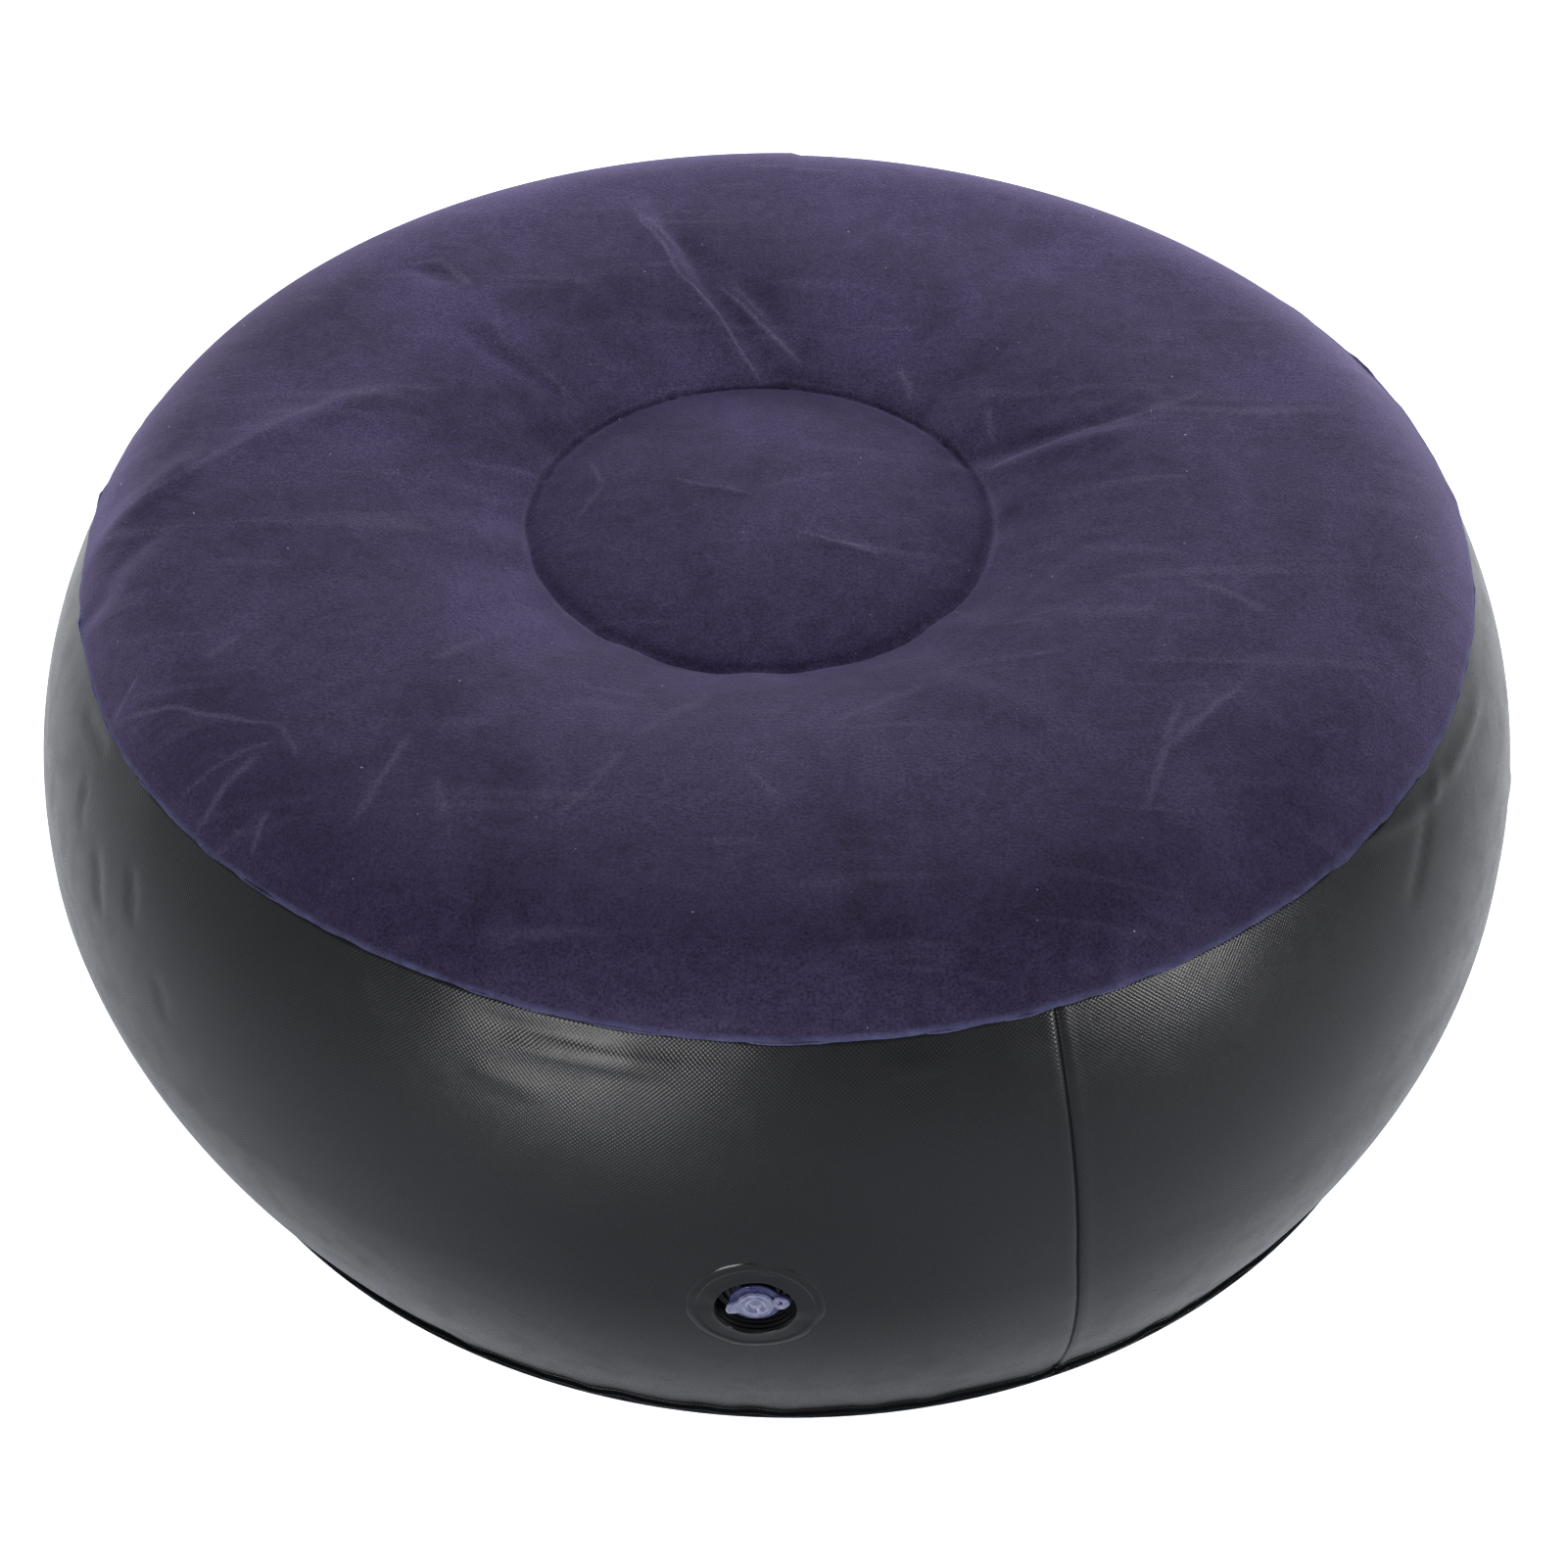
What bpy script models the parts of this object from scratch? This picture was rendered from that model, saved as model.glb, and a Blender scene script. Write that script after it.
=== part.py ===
"""Inflatable round footstool: flocked top sheet, black wall strip, bottom sheet, inner tie tube and push-in valve.

Run with: blender --background --python part.py
Metres, +Z up. The origin is on the floor, in the middle of the stool, and the valve faces -Y.
"""

import math

import bmesh
import bpy

# --- driving dimensions -------------------------------------------------------------------------
HEIGHT = 0.280  # floor to the crest of the top sheet, inflated
BODY_RADIUS = 0.320  # widest point of the bulging wall, at mid height
TOP_SEAM_RADIUS = 0.2885  # circle where the wall meets the top sheet
FLOOR_SEAM_RADIUS = 0.2855  # circle where the wall meets the bottom sheet
SEAM_DEPTH = 0.027  # how far each seam lies from the crest of its sheet
CREST_RADIUS = 0.2015  # circle along which the top sheet is highest
TUBE_RADIUS = 0.097  # tie tube, which pulls the middle of both sheets in
TUBE_DEPTH = 0.0225  # how far its weld lies below the crest
DOME_RISE = 0.012  # the middle disc bulges this far out of its weld
FLOOR_FLAT = 0.0010  # the bottom sheet is pressed flat by this much where it stands

SHEET = 0.0010  # thickness of every sheet, drawn thicker than the real 0.4 mm
GAP = 0.0003  # between sheets that are welded together in reality
LAP = 0.0032  # the top sheet laps this far down outside the wall
FIN = 0.0035  # the wall and the bottom sheet are welded face to face in a fin this wide

FACETS = 48  # round the body
WALL_ROWS = 10
SEAM_ANGLE = math.radians(21.4)  # the wall strip's butt joint, counted from the valve towards +X
SEAM_SLIT = 0.0006  # gap between the strip's butted ends
TAPE_WIDTH = 0.016
TAPE_GAP = 0.0009  # the tape bends round a facet's corner, so it stands a little further off

VENT_RADIUS = 0.016
VENT_PAIRS = 3
TUBE_MARGIN = 0.007  # weld margin of the tie tube, turned in under the sheet

# --- valve, measured along its axis from the wall's outer face, outwards positive ----------------
VALVE_HEIGHT = HEIGHT / 2
VALVE_FACETS = 24
TETHER_ROLL = math.radians(10)  # the tether points right and a little up
HOLE_RADIUS = 0.0153
CUP_RIM_RADIUS, CUP_FLOOR_RADIUS, CUP_WALL, CUP_DEPTH = 0.0149, 0.0139, 0.0010, 0.0098
FLANGE_RADIUS, FLANGE_FACE, FLANGE_THICK = 0.0220, -0.0037, 0.0010
NECK_RADIUS, BORE_RADIUS, NECK_END = 0.0062, 0.0041, -0.0220
LIP_RADIUS, LIP_TOP, LIP_THICK = 0.0098, -0.0026, 0.0010
WEB_RADIUS, WEB_TOP, WEB_THICK = 0.0123, -0.0085, 0.0010
CAP_RADIUS, CAP_THICK, CAP_RING, CAP_ROUNDING = 0.0070, 0.0012, 0.0005, 0.0003
PLUG_TOP_RADIUS, PLUG_TIP_RADIUS, PLUG_LENGTH = 0.0038, 0.0031, 0.0045
TAB_REACH, TAB_WIDTH, TAB_THICK = 0.0110, 0.0070, 0.0009
KNUCKLE_RADIUS = 0.0008
HINGE_REACH, HINGE_LEVEL = 0.0120, LIP_TOP + GAP + KNUCKLE_RADIUS
TETHER_WIDTH, TETHER_THICK, EAR_THICK = 0.0050, 0.0010, 0.0008
EYELET_RADIUS, EYELET_REACH = 0.0011, 0.0094
FLAP_RADIUS, FLAP_THICK, FLAP_HINGE_REACH = 0.0056, 0.0008, 0.0062
FLAP_STRIP_WIDTH = 0.0050


def clear_scene():
    for obj in list(bpy.data.objects):
        bpy.data.objects.remove(obj, do_unlink=True)


def new_collection(name):
    collection = bpy.data.collections.new(name)
    bpy.context.scene.collection.children.link(collection)
    return collection


def plastic(name, colour, roughness, alpha=1.0):
    material = bpy.data.materials.new(name)
    material.use_nodes = True
    shader = material.node_tree.nodes["Principled BSDF"]
    shader.inputs["Base Color"].default_value = (*colour, 1.0)
    shader.inputs["Roughness"].default_value = roughness
    shader.inputs["Metallic"].default_value = 0.0
    shader.inputs["Alpha"].default_value = alpha
    return material


def empty(name, parent=None, location=(0, 0, 0), rotation=(0, 0, 0)):
    obj = bpy.data.objects.new(name, None)
    obj.empty_display_size = 0.01
    obj.location = location
    obj.rotation_euler = rotation
    obj.parent = parent
    parts.objects.link(obj)
    return obj


def mesh_object(name, mesh, material=None, parent=None, collection=None):
    obj = bpy.data.objects.new(name, mesh)
    (collection or parts).objects.link(obj)
    obj.parent = parent
    if material:
        obj.data.materials.append(material)
        obj.data.shade_smooth()
        obj.data.set_sharp_from_angle(angle=math.radians(35))
    return obj


def cylinder_cutter(name, radius, length, facets, parent=None, location=(0, 0, 0), rotation=(0, 0, 0)):
    """A helper that cuts a round hole. It stays in the cutters' collection and is never rendered."""
    mesh = bpy.data.meshes.new(name)
    shape = bmesh.new()
    bmesh.ops.create_cone(
        shape, cap_ends=True, segments=facets, radius1=radius, radius2=radius, depth=length
    )
    shape.to_mesh(mesh)
    shape.free()
    obj = mesh_object(name, mesh, parent=parent, collection=cutters)
    obj.location = location
    obj.rotation_euler = rotation
    obj.hide_render = True
    obj.display_type = "WIRE"
    return obj


def cut(obj, cutter):
    modifier = obj.modifiers.new("cut", "BOOLEAN")
    modifier.operation = "DIFFERENCE"
    modifier.object = cutter


def profile_mesh(name, outline, closed=False):
    """A line of points (radius, height) in the XZ plane, ready for a Screw modifier."""
    mesh = bpy.data.meshes.new(name)
    edges = [(i, i + 1) for i in range(len(outline) - 1)]
    if closed:
        edges.append((len(outline) - 1, 0))
    mesh.from_pydata([(r, 0, z) for r, z in outline], edges, [])
    return mesh


def turned(name, outline, material, facets, parent=None, closed=False, angle=math.tau, start=0.0):
    """The outline turned about Z. An outline that is not closed starts and ends on the axis, or is a sheet."""
    obj = mesh_object(name, profile_mesh(name, outline, closed), parent=parent)
    obj.data.materials.append(material)
    obj.rotation_euler = (0, 0, start)
    screw = obj.modifiers.new("turn", "SCREW")
    screw.axis = "Z"
    screw.angle = angle
    screw.steps = facets
    screw.render_steps = facets
    screw.use_merge_vertices = True
    screw.merge_threshold = 0.00005
    return obj


def as_sheet(obj, thickness=SHEET):
    """Gives a turned surface its thickness, inwards from the drawn face."""
    solidify = obj.modifiers.new("thickness", "SOLIDIFY")
    solidify.thickness = thickness
    solidify.offset = -1
    solidify.use_even_offset = True
    return obj


# --- shapes of the inflated sheets ---------------------------------------------------------------
def wall_radius(z):
    """Outer face of the wall: a bulge that is rounder above than below."""
    middle = HEIGHT / 2
    reach = middle - SEAM_DEPTH
    seam, power = (TOP_SEAM_RADIUS, 2.2) if z > middle else (FLOOR_SEAM_RADIUS, 1.83)
    return BODY_RADIUS - (BODY_RADIUS - seam) * (abs(z - middle) / reach) ** power


def sheet_outline(edge):
    """(radius, depth) of an end sheet: its seam at radius edge, its crest, the tie weld and the middle."""
    points = []
    for share in (1.0, 0.97, 0.91, 0.82, 0.66, 0.4, 0.0):
        points.append((CREST_RADIUS + (edge - CREST_RADIUS) * share, SEAM_DEPTH * share**4.8))
    for share in (0.3, 0.55, 0.8, 1.0):
        points.append((CREST_RADIUS + (TUBE_RADIUS - CREST_RADIUS) * share, TUBE_DEPTH * share**2.4))
    for share in (0.8, 0.55, 0.28, 0.0):
        points.append((TUBE_RADIUS * share, TUBE_DEPTH - DOME_RISE * (1 - share**2)))
    return points


# --- body ----------------------------------------------------------------------------------------
def body_start():
    """Every turned sheet has a facet corner on the wall's butt joint, so that the facets line up."""
    return SEAM_ANGLE - math.pi / 2


def make_top_panel():
    """The top sheet, whose edge laps down over the wall."""
    stand_off = GAP + SHEET
    lap_end = HEIGHT - SEAM_DEPTH - LAP
    outline = [(r, HEIGHT - depth) for r, depth in reversed(sheet_outline(TOP_SEAM_RADIUS + stand_off))]
    outline.append((wall_radius(lap_end) + stand_off, lap_end))
    return as_sheet(turned("top_panel", outline, flocked, FACETS, start=body_start()))


def make_bottom_panel():
    """The bottom sheet. It is flat where it stands, and its edge turns out into the fin."""
    outline = [(FLOOR_SEAM_RADIUS + FIN, SEAM_DEPTH - FLOOR_FLAT)]
    outline += [(r, max(depth - FLOOR_FLAT, 0.0)) for r, depth in sheet_outline(FLOOR_SEAM_RADIUS)]
    return as_sheet(turned("bottom_panel", outline, black, FACETS, start=body_start()))


def wall_heights():
    low, high = SEAM_DEPTH + SHEET + GAP, HEIGHT - SEAM_DEPTH - SHEET - GAP
    return [high + (low - high) * i / WALL_ROWS for i in range(WALL_ROWS + 1)]


def make_side_wall():
    """One strip bent round, butted at the side seam, with the fin at its foot and the valve's hole."""
    slit = SEAM_SLIT / BODY_RADIUS
    outline = [(wall_radius(z), z) for z in wall_heights()]
    outline.append((FLOOR_SEAM_RADIUS + FIN, outline[-1][1]))
    wall = turned(
        "side_wall", outline, black, FACETS, angle=math.tau - slit, start=body_start() + slit / 2
    )
    as_sheet(wall)
    hole = cylinder_cutter(
        "valve_hole_cutter",
        HOLE_RADIUS,
        0.04,
        VALVE_FACETS,
        location=(0, -BODY_RADIUS, VALVE_HEIGHT),
        rotation=(math.pi / 2, 0, 0),
    )
    cut(wall, hole)
    return wall


def make_side_seam_tape():
    """Strip welded behind the wall's butted ends. It stops short of both sheets."""
    span = TAPE_WIDTH / BODY_RADIUS
    heights = wall_heights()[1:-1]
    outline = [(wall_radius(z) - SHEET - TAPE_GAP, z) for z in heights]
    return as_sheet(
        turned("side_seam_tape", outline, black, 2, angle=span, start=body_start() - span / 2)
    )


def make_inner_tube():
    """Tube that ties the two sheets together, with its ends turned in and vents for the air."""
    top = HEIGHT - TUBE_DEPTH - SHEET - GAP
    bottom = HEIGHT - top
    turn_in = 0.17 * TUBE_MARGIN
    outline = [
        (TUBE_RADIUS - TUBE_MARGIN, top + turn_in),
        (TUBE_RADIUS, top),
        (TUBE_RADIUS, bottom),
        (TUBE_RADIUS - TUBE_MARGIN, bottom - turn_in),
    ]
    tube = as_sheet(turned("inner_tube", outline, black, FACETS, start=body_start()))
    for i in range(VENT_PAIRS):
        vent = cylinder_cutter(
            f"vent_cutter_{i + 1}",
            VENT_RADIUS,
            0.3,
            16,
            location=(0, 0, HEIGHT / 2),
            rotation=(math.pi / 2, 0, math.pi * i / VENT_PAIRS),
        )
        cut(tube, vent)
    return tube


# --- valve ---------------------------------------------------------------------------------------
def make_valve_flange():
    """The ring welded behind the wall, and the cup that forms the recess."""
    outline = [
        (CUP_RIM_RADIUS - CUP_WALL, 0.0),
        (CUP_RIM_RADIUS, 0.0),
        (CUP_RIM_RADIUS, FLANGE_FACE),
        (FLANGE_RADIUS, FLANGE_FACE),
        (FLANGE_RADIUS, FLANGE_FACE - FLANGE_THICK),
        (CUP_RIM_RADIUS, FLANGE_FACE - FLANGE_THICK),
        (CUP_FLOOR_RADIUS, -CUP_DEPTH),
        (CUP_FLOOR_RADIUS - CUP_WALL, -CUP_DEPTH),
    ]
    return turned("valve_flange", outline, black, VALVE_FACETS, parent=valve_axis, closed=True)


def box_mesh(name, size, centre):
    mesh = bpy.data.meshes.new(name)
    shape = bmesh.new()
    bmesh.ops.create_cube(shape, size=1.0)
    for vertex in shape.verts:
        for axis in range(3):
            vertex.co[axis] = vertex.co[axis] * size[axis] + centre[axis]
    shape.to_mesh(mesh)
    shape.free()
    return mesh


def joined(base, other):
    """Fuses a helper shape into a piece, as one moulding."""
    other.hide_render = True
    other.display_type = "WIRE"
    modifier = base.modifiers.new("fuse", "BOOLEAN")
    modifier.operation = "UNION"
    modifier.object = other


def make_valve_stem():
    """Neck with its lip and the flexible web's inner half. An ear on the lip carries the cap's tether."""
    outline = [
        (BORE_RADIUS, LIP_TOP),
        (LIP_RADIUS, LIP_TOP),
        (LIP_RADIUS, LIP_TOP - LIP_THICK),
        (NECK_RADIUS, LIP_TOP - LIP_THICK),
        (NECK_RADIUS, WEB_TOP),
        (WEB_RADIUS, WEB_TOP),
        (WEB_RADIUS, WEB_TOP - WEB_THICK),
        (NECK_RADIUS, WEB_TOP - WEB_THICK),
        (NECK_RADIUS, NECK_END),
        (BORE_RADIUS, NECK_END),
    ]
    stem = turned("valve_stem", outline, clear, VALVE_FACETS, parent=stem_slide, closed=True)
    ear_start = LIP_RADIUS - 0.003
    ear_length = HINGE_REACH + KNUCKLE_RADIUS - ear_start
    ear = mesh_object(
        "ear_shape",
        box_mesh(
            "ear_shape",
            (ear_length, TETHER_WIDTH, EAR_THICK),
            (ear_start + ear_length / 2, 0, LIP_TOP - LIP_THICK / 2),
        ),
        parent=stem_slide,
        collection=cutters,
    )
    ear.rotation_euler = (0, 0, TETHER_ROLL)
    joined(stem, ear)
    return stem


def make_valve_cap():
    """Round cap with a tapered hollow-looking plug below, a raised ring above and a pull tab on the left."""
    base = LIP_TOP + GAP
    face = base + CAP_THICK
    outline = [
        (0.0, face - CAP_RING),
        (PLUG_TIP_RADIUS - CAP_RING, face - CAP_RING),
        (PLUG_TIP_RADIUS, face + CAP_RING),
        (PLUG_TOP_RADIUS, face + CAP_RING),
        (PLUG_TOP_RADIUS + CAP_RING, face),
        (CAP_RADIUS - CAP_ROUNDING, face),
        (CAP_RADIUS, face - CAP_ROUNDING),
        (CAP_RADIUS, base + CAP_ROUNDING),
        (CAP_RADIUS - CAP_ROUNDING, base),
        (PLUG_TOP_RADIUS, base),
        (PLUG_TIP_RADIUS, base - PLUG_LENGTH),
        (0.0, base - PLUG_LENGTH),
    ]
    outline = [(r, z - HINGE_LEVEL) for r, z in outline]
    cap = turned("valve_cap", outline, clear, VALVE_FACETS, parent=cap_hinge)
    cap.location = (-HINGE_REACH, 0, 0)
    tab_start = CAP_RADIUS / 2
    tab = mesh_object(
        "tab_shape",
        box_mesh(
            "tab_shape",
            (TAB_REACH - tab_start, TAB_WIDTH, TAB_THICK),
            (-HINGE_REACH - (TAB_REACH + tab_start) / 2, 0, base + CAP_THICK / 2 - HINGE_LEVEL),
        ),
        parent=cap_hinge,
        collection=cutters,
    )
    joined(cap, tab)
    return cap


def make_cap_tether():
    """Strap from the cap's edge to the hinge line, with an eyelet, ending in a round knuckle."""
    start = CAP_RADIUS / 2
    tether = mesh_object(
        "cap_tether",
        box_mesh(
            "cap_tether",
            (HINGE_REACH - start, TETHER_WIDTH, TETHER_THICK),
            ((start - HINGE_REACH) / 2, 0, 0),
        ),
        clear,
        parent=cap_hinge,
    )
    knuckle = cylinder_cutter(
        "knuckle_shape",
        KNUCKLE_RADIUS,
        TETHER_WIDTH,
        12,
        parent=cap_hinge,
        rotation=(math.pi / 2, 0, 0),
    )
    joined(tether, knuckle)
    eyelet = cylinder_cutter(
        "eyelet_cutter",
        EYELET_RADIUS,
        0.006,
        12,
        parent=cap_hinge,
        location=(EYELET_REACH - HINGE_REACH, 0, 0),
    )
    cut(tether, eyelet)
    round_end = cylinder_cutter(
        "cap_edge_cutter",
        CAP_RADIUS + GAP,
        0.006,
        VALVE_FACETS * 2,
        parent=cap_hinge,
        location=(-HINGE_REACH, 0, 0),
    )
    cut(tether, round_end)
    return tether


def make_valve_flap():
    """Non-return flap under the neck, hinged at its top edge."""
    mesh = bpy.data.meshes.new("valve_flap")
    shape = bmesh.new()
    bmesh.ops.create_cone(
        shape,
        cap_ends=True,
        segments=VALVE_FACETS,
        radius1=FLAP_RADIUS,
        radius2=FLAP_RADIUS,
        depth=FLAP_THICK,
    )
    shape.to_mesh(mesh)
    shape.free()
    flap = mesh_object("valve_flap", mesh, clear, parent=flap_hinge)
    flap.location = (0, -FLAP_HINGE_REACH, 0)
    strip_length = FLAP_HINGE_REACH - FLAP_RADIUS / 2
    strip = mesh_object(
        "flap_strip_shape",
        box_mesh(
            "flap_strip_shape",
            (FLAP_STRIP_WIDTH, strip_length, FLAP_THICK / 2),
            (0, -strip_length / 2, 0),
        ),
        parent=flap_hinge,
        collection=cutters,
    )
    joined(flap, strip)
    return flap


clear_scene()
parts = new_collection("inflatable_footstool")
cutters = new_collection("cutters")

flocked = plastic("flocked_purple", (0.030, 0.020, 0.060), 0.95)
black = plastic("black_pvc", (0.022, 0.023, 0.026), 0.38)
clear = plastic("clear_blue_pvc", (0.42, 0.44, 0.62), 0.15, alpha=0.7)

valve_axis = empty(
    "valve_axis", location=(0, -BODY_RADIUS, VALVE_HEIGHT), rotation=(math.pi / 2, 0, 0)
)
stem_slide = empty("stem_slide", parent=valve_axis)
cap_hinge = empty(
    "cap_hinge",
    parent=stem_slide,
    location=(
        HINGE_REACH * math.cos(TETHER_ROLL),
        HINGE_REACH * math.sin(TETHER_ROLL),
        HINGE_LEVEL,
    ),
    rotation=(0, 0, TETHER_ROLL),
)
flap_hinge = empty(
    "flap_hinge",
    parent=stem_slide,
    location=(0, FLAP_HINGE_REACH, NECK_END - GAP - FLAP_THICK / 2),
)

make_top_panel()
make_side_wall()
make_bottom_panel()
make_inner_tube()
make_side_seam_tape()
make_valve_flange()
make_valve_stem()
make_valve_cap()
make_cap_tether()
make_valve_flap()
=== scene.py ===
# %% [markdown]
# # An inflatable footstool
# A round stool blown up like a beach ring: a flocked top, a black wall with a woven emboss, a bottom sheet
# and one small push-in valve. Everything on it is film, so everything here is a thin sheet with a shape that
# air gives it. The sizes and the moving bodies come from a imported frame, and this file makes only the looks.

# %% Load the frame
import math

import bmesh
import bpy
import numpy as np
from mathutils import Matrix, Vector


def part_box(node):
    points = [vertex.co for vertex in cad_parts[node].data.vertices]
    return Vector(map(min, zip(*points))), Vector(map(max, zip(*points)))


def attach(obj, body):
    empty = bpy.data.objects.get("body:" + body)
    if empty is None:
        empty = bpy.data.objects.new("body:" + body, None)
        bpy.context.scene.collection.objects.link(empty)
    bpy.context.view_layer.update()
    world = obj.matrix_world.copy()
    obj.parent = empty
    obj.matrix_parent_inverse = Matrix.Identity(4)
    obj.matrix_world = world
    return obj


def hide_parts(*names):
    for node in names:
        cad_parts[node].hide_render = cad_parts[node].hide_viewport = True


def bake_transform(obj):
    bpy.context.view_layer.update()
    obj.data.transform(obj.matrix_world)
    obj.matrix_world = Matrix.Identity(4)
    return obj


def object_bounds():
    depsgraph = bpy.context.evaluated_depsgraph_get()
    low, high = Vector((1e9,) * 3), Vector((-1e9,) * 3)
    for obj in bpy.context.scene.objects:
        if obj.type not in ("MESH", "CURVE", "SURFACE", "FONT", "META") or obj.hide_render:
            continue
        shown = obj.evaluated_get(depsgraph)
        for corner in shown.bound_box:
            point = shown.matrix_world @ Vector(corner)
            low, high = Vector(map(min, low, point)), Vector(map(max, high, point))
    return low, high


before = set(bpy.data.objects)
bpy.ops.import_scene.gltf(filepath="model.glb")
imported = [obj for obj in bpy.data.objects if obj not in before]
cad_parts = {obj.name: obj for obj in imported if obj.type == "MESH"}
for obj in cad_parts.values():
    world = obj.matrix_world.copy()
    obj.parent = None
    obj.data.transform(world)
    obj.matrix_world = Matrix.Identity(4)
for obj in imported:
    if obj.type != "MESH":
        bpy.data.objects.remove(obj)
cad_box = [list(corner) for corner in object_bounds()]
print("CAD box:", cad_box)

# %% [markdown]
# ## Sizes read from the frame
# The height, the belly, the tie circle and the fin are measured on CAD nodes, so that a change of the design
# carries through; the other sizes are given numbers. The wall is a
# barrel: widest half way up, and drawn in to a seam at each end. The two end sheets share one outline: a
# crest, a circle where a hidden tube ties them together, and a shallow dome in the middle.

# %% Driving sizes
high_corner = Vector(cad_box[1])
height = high_corner.z
belly = high_corner.x
middle = height / 2
tie_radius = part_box("inner_tube")[1].x
fin_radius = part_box("bottom_panel")[1].x
fin_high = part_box("bottom_panel")[1].z
fin_trim = 0.0008
fin_edge = fin_radius - fin_trim

film = 0.0006
seam_depth = fin_high
rim_height = height - seam_depth
lap_drop = 0.0005
crest_radius = 0.2015
tie_depth = 0.0225
dome_rise = 0.012
top_seam_radius = 0.2885
fin_width = 0.0035
floor_seam_radius = fin_radius - fin_width
seam_angle = math.radians(21.4)
disc_shift = -0.0073
foot_shift = 0.0062
print(f"height {height:.3f}, belly {belly:.3f}, tie circle {tie_radius:.3f}, rim at {rim_height:.4f}")


upper_roundness, lower_roundness = 2.2, 1.83
rim_roundness, slope_roundness, dome_roundness = 4.8, 2.4, 2.3


def wall_radius(z):
    """Radius of the wall's outer face at height z. It is rounder above the middle than below."""
    reach = middle - seam_depth
    share = np.abs(z - middle) / reach
    upper = belly - (belly - top_seam_radius) * share**upper_roundness
    lower = belly - (belly - floor_seam_radius) * share**lower_roundness
    return np.where(z > middle, upper, lower)


def crown_depth(r, edge):
    """Depth below the crest of an end sheet at radius r, whose seam lies at radius edge."""
    outer = seam_depth * np.clip((r - crest_radius) / (edge - crest_radius), 0, None) ** rim_roundness
    slope = tie_depth * np.clip((crest_radius - r) / (crest_radius - tie_radius), 0, 1) ** slope_roundness
    dome = dome_rise * (1 - np.clip(r / tie_radius, 0, 1) ** dome_roundness)
    return outer + slope - dome


rim_climb, rim_climb_draws_in = 0.0036, 0.6
rim_climb_at, rim_climb_reach = math.radians(-30), math.radians(22)


def rim_rise(angle):
    """How far the rim's weld climbs above its level, at an angle from the valve towards +X."""
    return rim_climb * np.exp(-(((angle - rim_climb_at) / rim_climb_reach) ** 2))


# %% [markdown]
# ## Shader node groups
# Several finishes share an effect, so each effect is a node group with named sockets. A group here only puts
# out colours, masks and heights. The shader itself stays in each material.


# %% Helpers for node trees
class Tree:
    """Thin wrapper that adds nodes to a node tree and links them in one call."""

    def __init__(self, tree):
        self.tree = tree
        self.column = 0

    def add(self, kind, values=None, **settings):
        """Adds a node: settings are its properties, values its inputs. A socket is linked, a value set."""
        node = self.tree.nodes.new(kind)
        self.column += 1
        node.location = (180 * self.column, 0)
        for key, value in settings.items():
            setattr(node, key, value)
        for key, value in (values or {}).items():
            if isinstance(value, bpy.types.NodeSocket):
                self.tree.links.new(value, node.inputs[key])
            else:
                node.inputs[key].default_value = value
        return node

    def maths(self, operation, a, b=0.0, c=0.0):
        kind = "ShaderNodeMath"
        return self.add(kind, {0: a, 1: b, 2: c}, operation=operation).outputs[0]

    def vector(self, operation, a, b=(0, 0, 0)):
        node = self.add("ShaderNodeVectorMath", {0: a, 1: b}, operation=operation)
        return node.outputs["Value" if operation in ("LENGTH", "DOT_PRODUCT") else "Vector"]

    def scale(self, a, factor):
        values = {0: a, "Scale": factor}
        return self.add("ShaderNodeVectorMath", values, operation="SCALE").outputs["Vector"]

    def parts(self, a):
        """The X, Y and Z of a vector."""
        return self.add("ShaderNodeSeparateXYZ", {0: a}).outputs

    def bell(self, value):
        """A soft peak: 1 where value is 0, and close to 0 from 2 on."""
        return self.maths("EXPONENT", self.maths("MULTIPLY", self.maths("MULTIPLY", value, value), -1.0))

    def remap(self, value, low, high, to_low=0.0, to_high=1.0):
        values = {"Value": value, 1: low, 2: high, 3: to_low, 4: to_high}
        return self.add("ShaderNodeMapRange", values, clamp=True).outputs[0]

    def mix(self, factor, a, b):
        node = self.add("ShaderNodeMix", data_type="RGBA")
        for socket, value in ((node.inputs[0], factor), (node.inputs[6], a), (node.inputs[7], b)):
            if isinstance(value, bpy.types.NodeSocket):
                self.tree.links.new(value, socket)
            else:
                socket.default_value = value
        return node.outputs[2]

    def noise(self, vector, scale, detail=3.0, roughness=0.55, distortion=0.0):
        values = {
            "Vector": vector,
            "Scale": scale,
            "Detail": detail,
            "Roughness": roughness,
            "Distortion": distortion,
        }
        return self.add("ShaderNodeTexNoise", values).outputs["Fac"]


def new_group(name, inputs, outputs):
    """A shader node group with named sockets: (name, type, default) in, and (name, type) out."""
    group = bpy.data.node_groups.new(name, "ShaderNodeTree")
    for socket_name, socket_type, default in inputs:
        socket = group.interface.new_socket(socket_name, in_out="INPUT", socket_type=socket_type)
        if default is not None:
            socket.default_value = default
    for socket_name, socket_type in outputs:
        group.interface.new_socket(socket_name, in_out="OUTPUT", socket_type=socket_type)
    tree = Tree(group)
    entry = group.nodes.new("NodeGroupInput").outputs
    leave = group.nodes.new("NodeGroupOutput").inputs
    return tree, entry, leave


FLOAT, VECTOR = "NodeSocketFloat", "NodeSocketVector"

# %% [markdown]
# ## Camera, floor and studio light
# A long lens looks down on the stool from a little over forty degrees. The floor is a plain pale sheet, a
# little brighter to the camera than to the stool. Black gloss film shows almost nothing but what it reflects,
# so the lights are soft square panels: three low ones behind and at the left that skim the flock, two low in
# front that lay a broad gleam under the rim of the wall, and three small ones near by from above.

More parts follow.
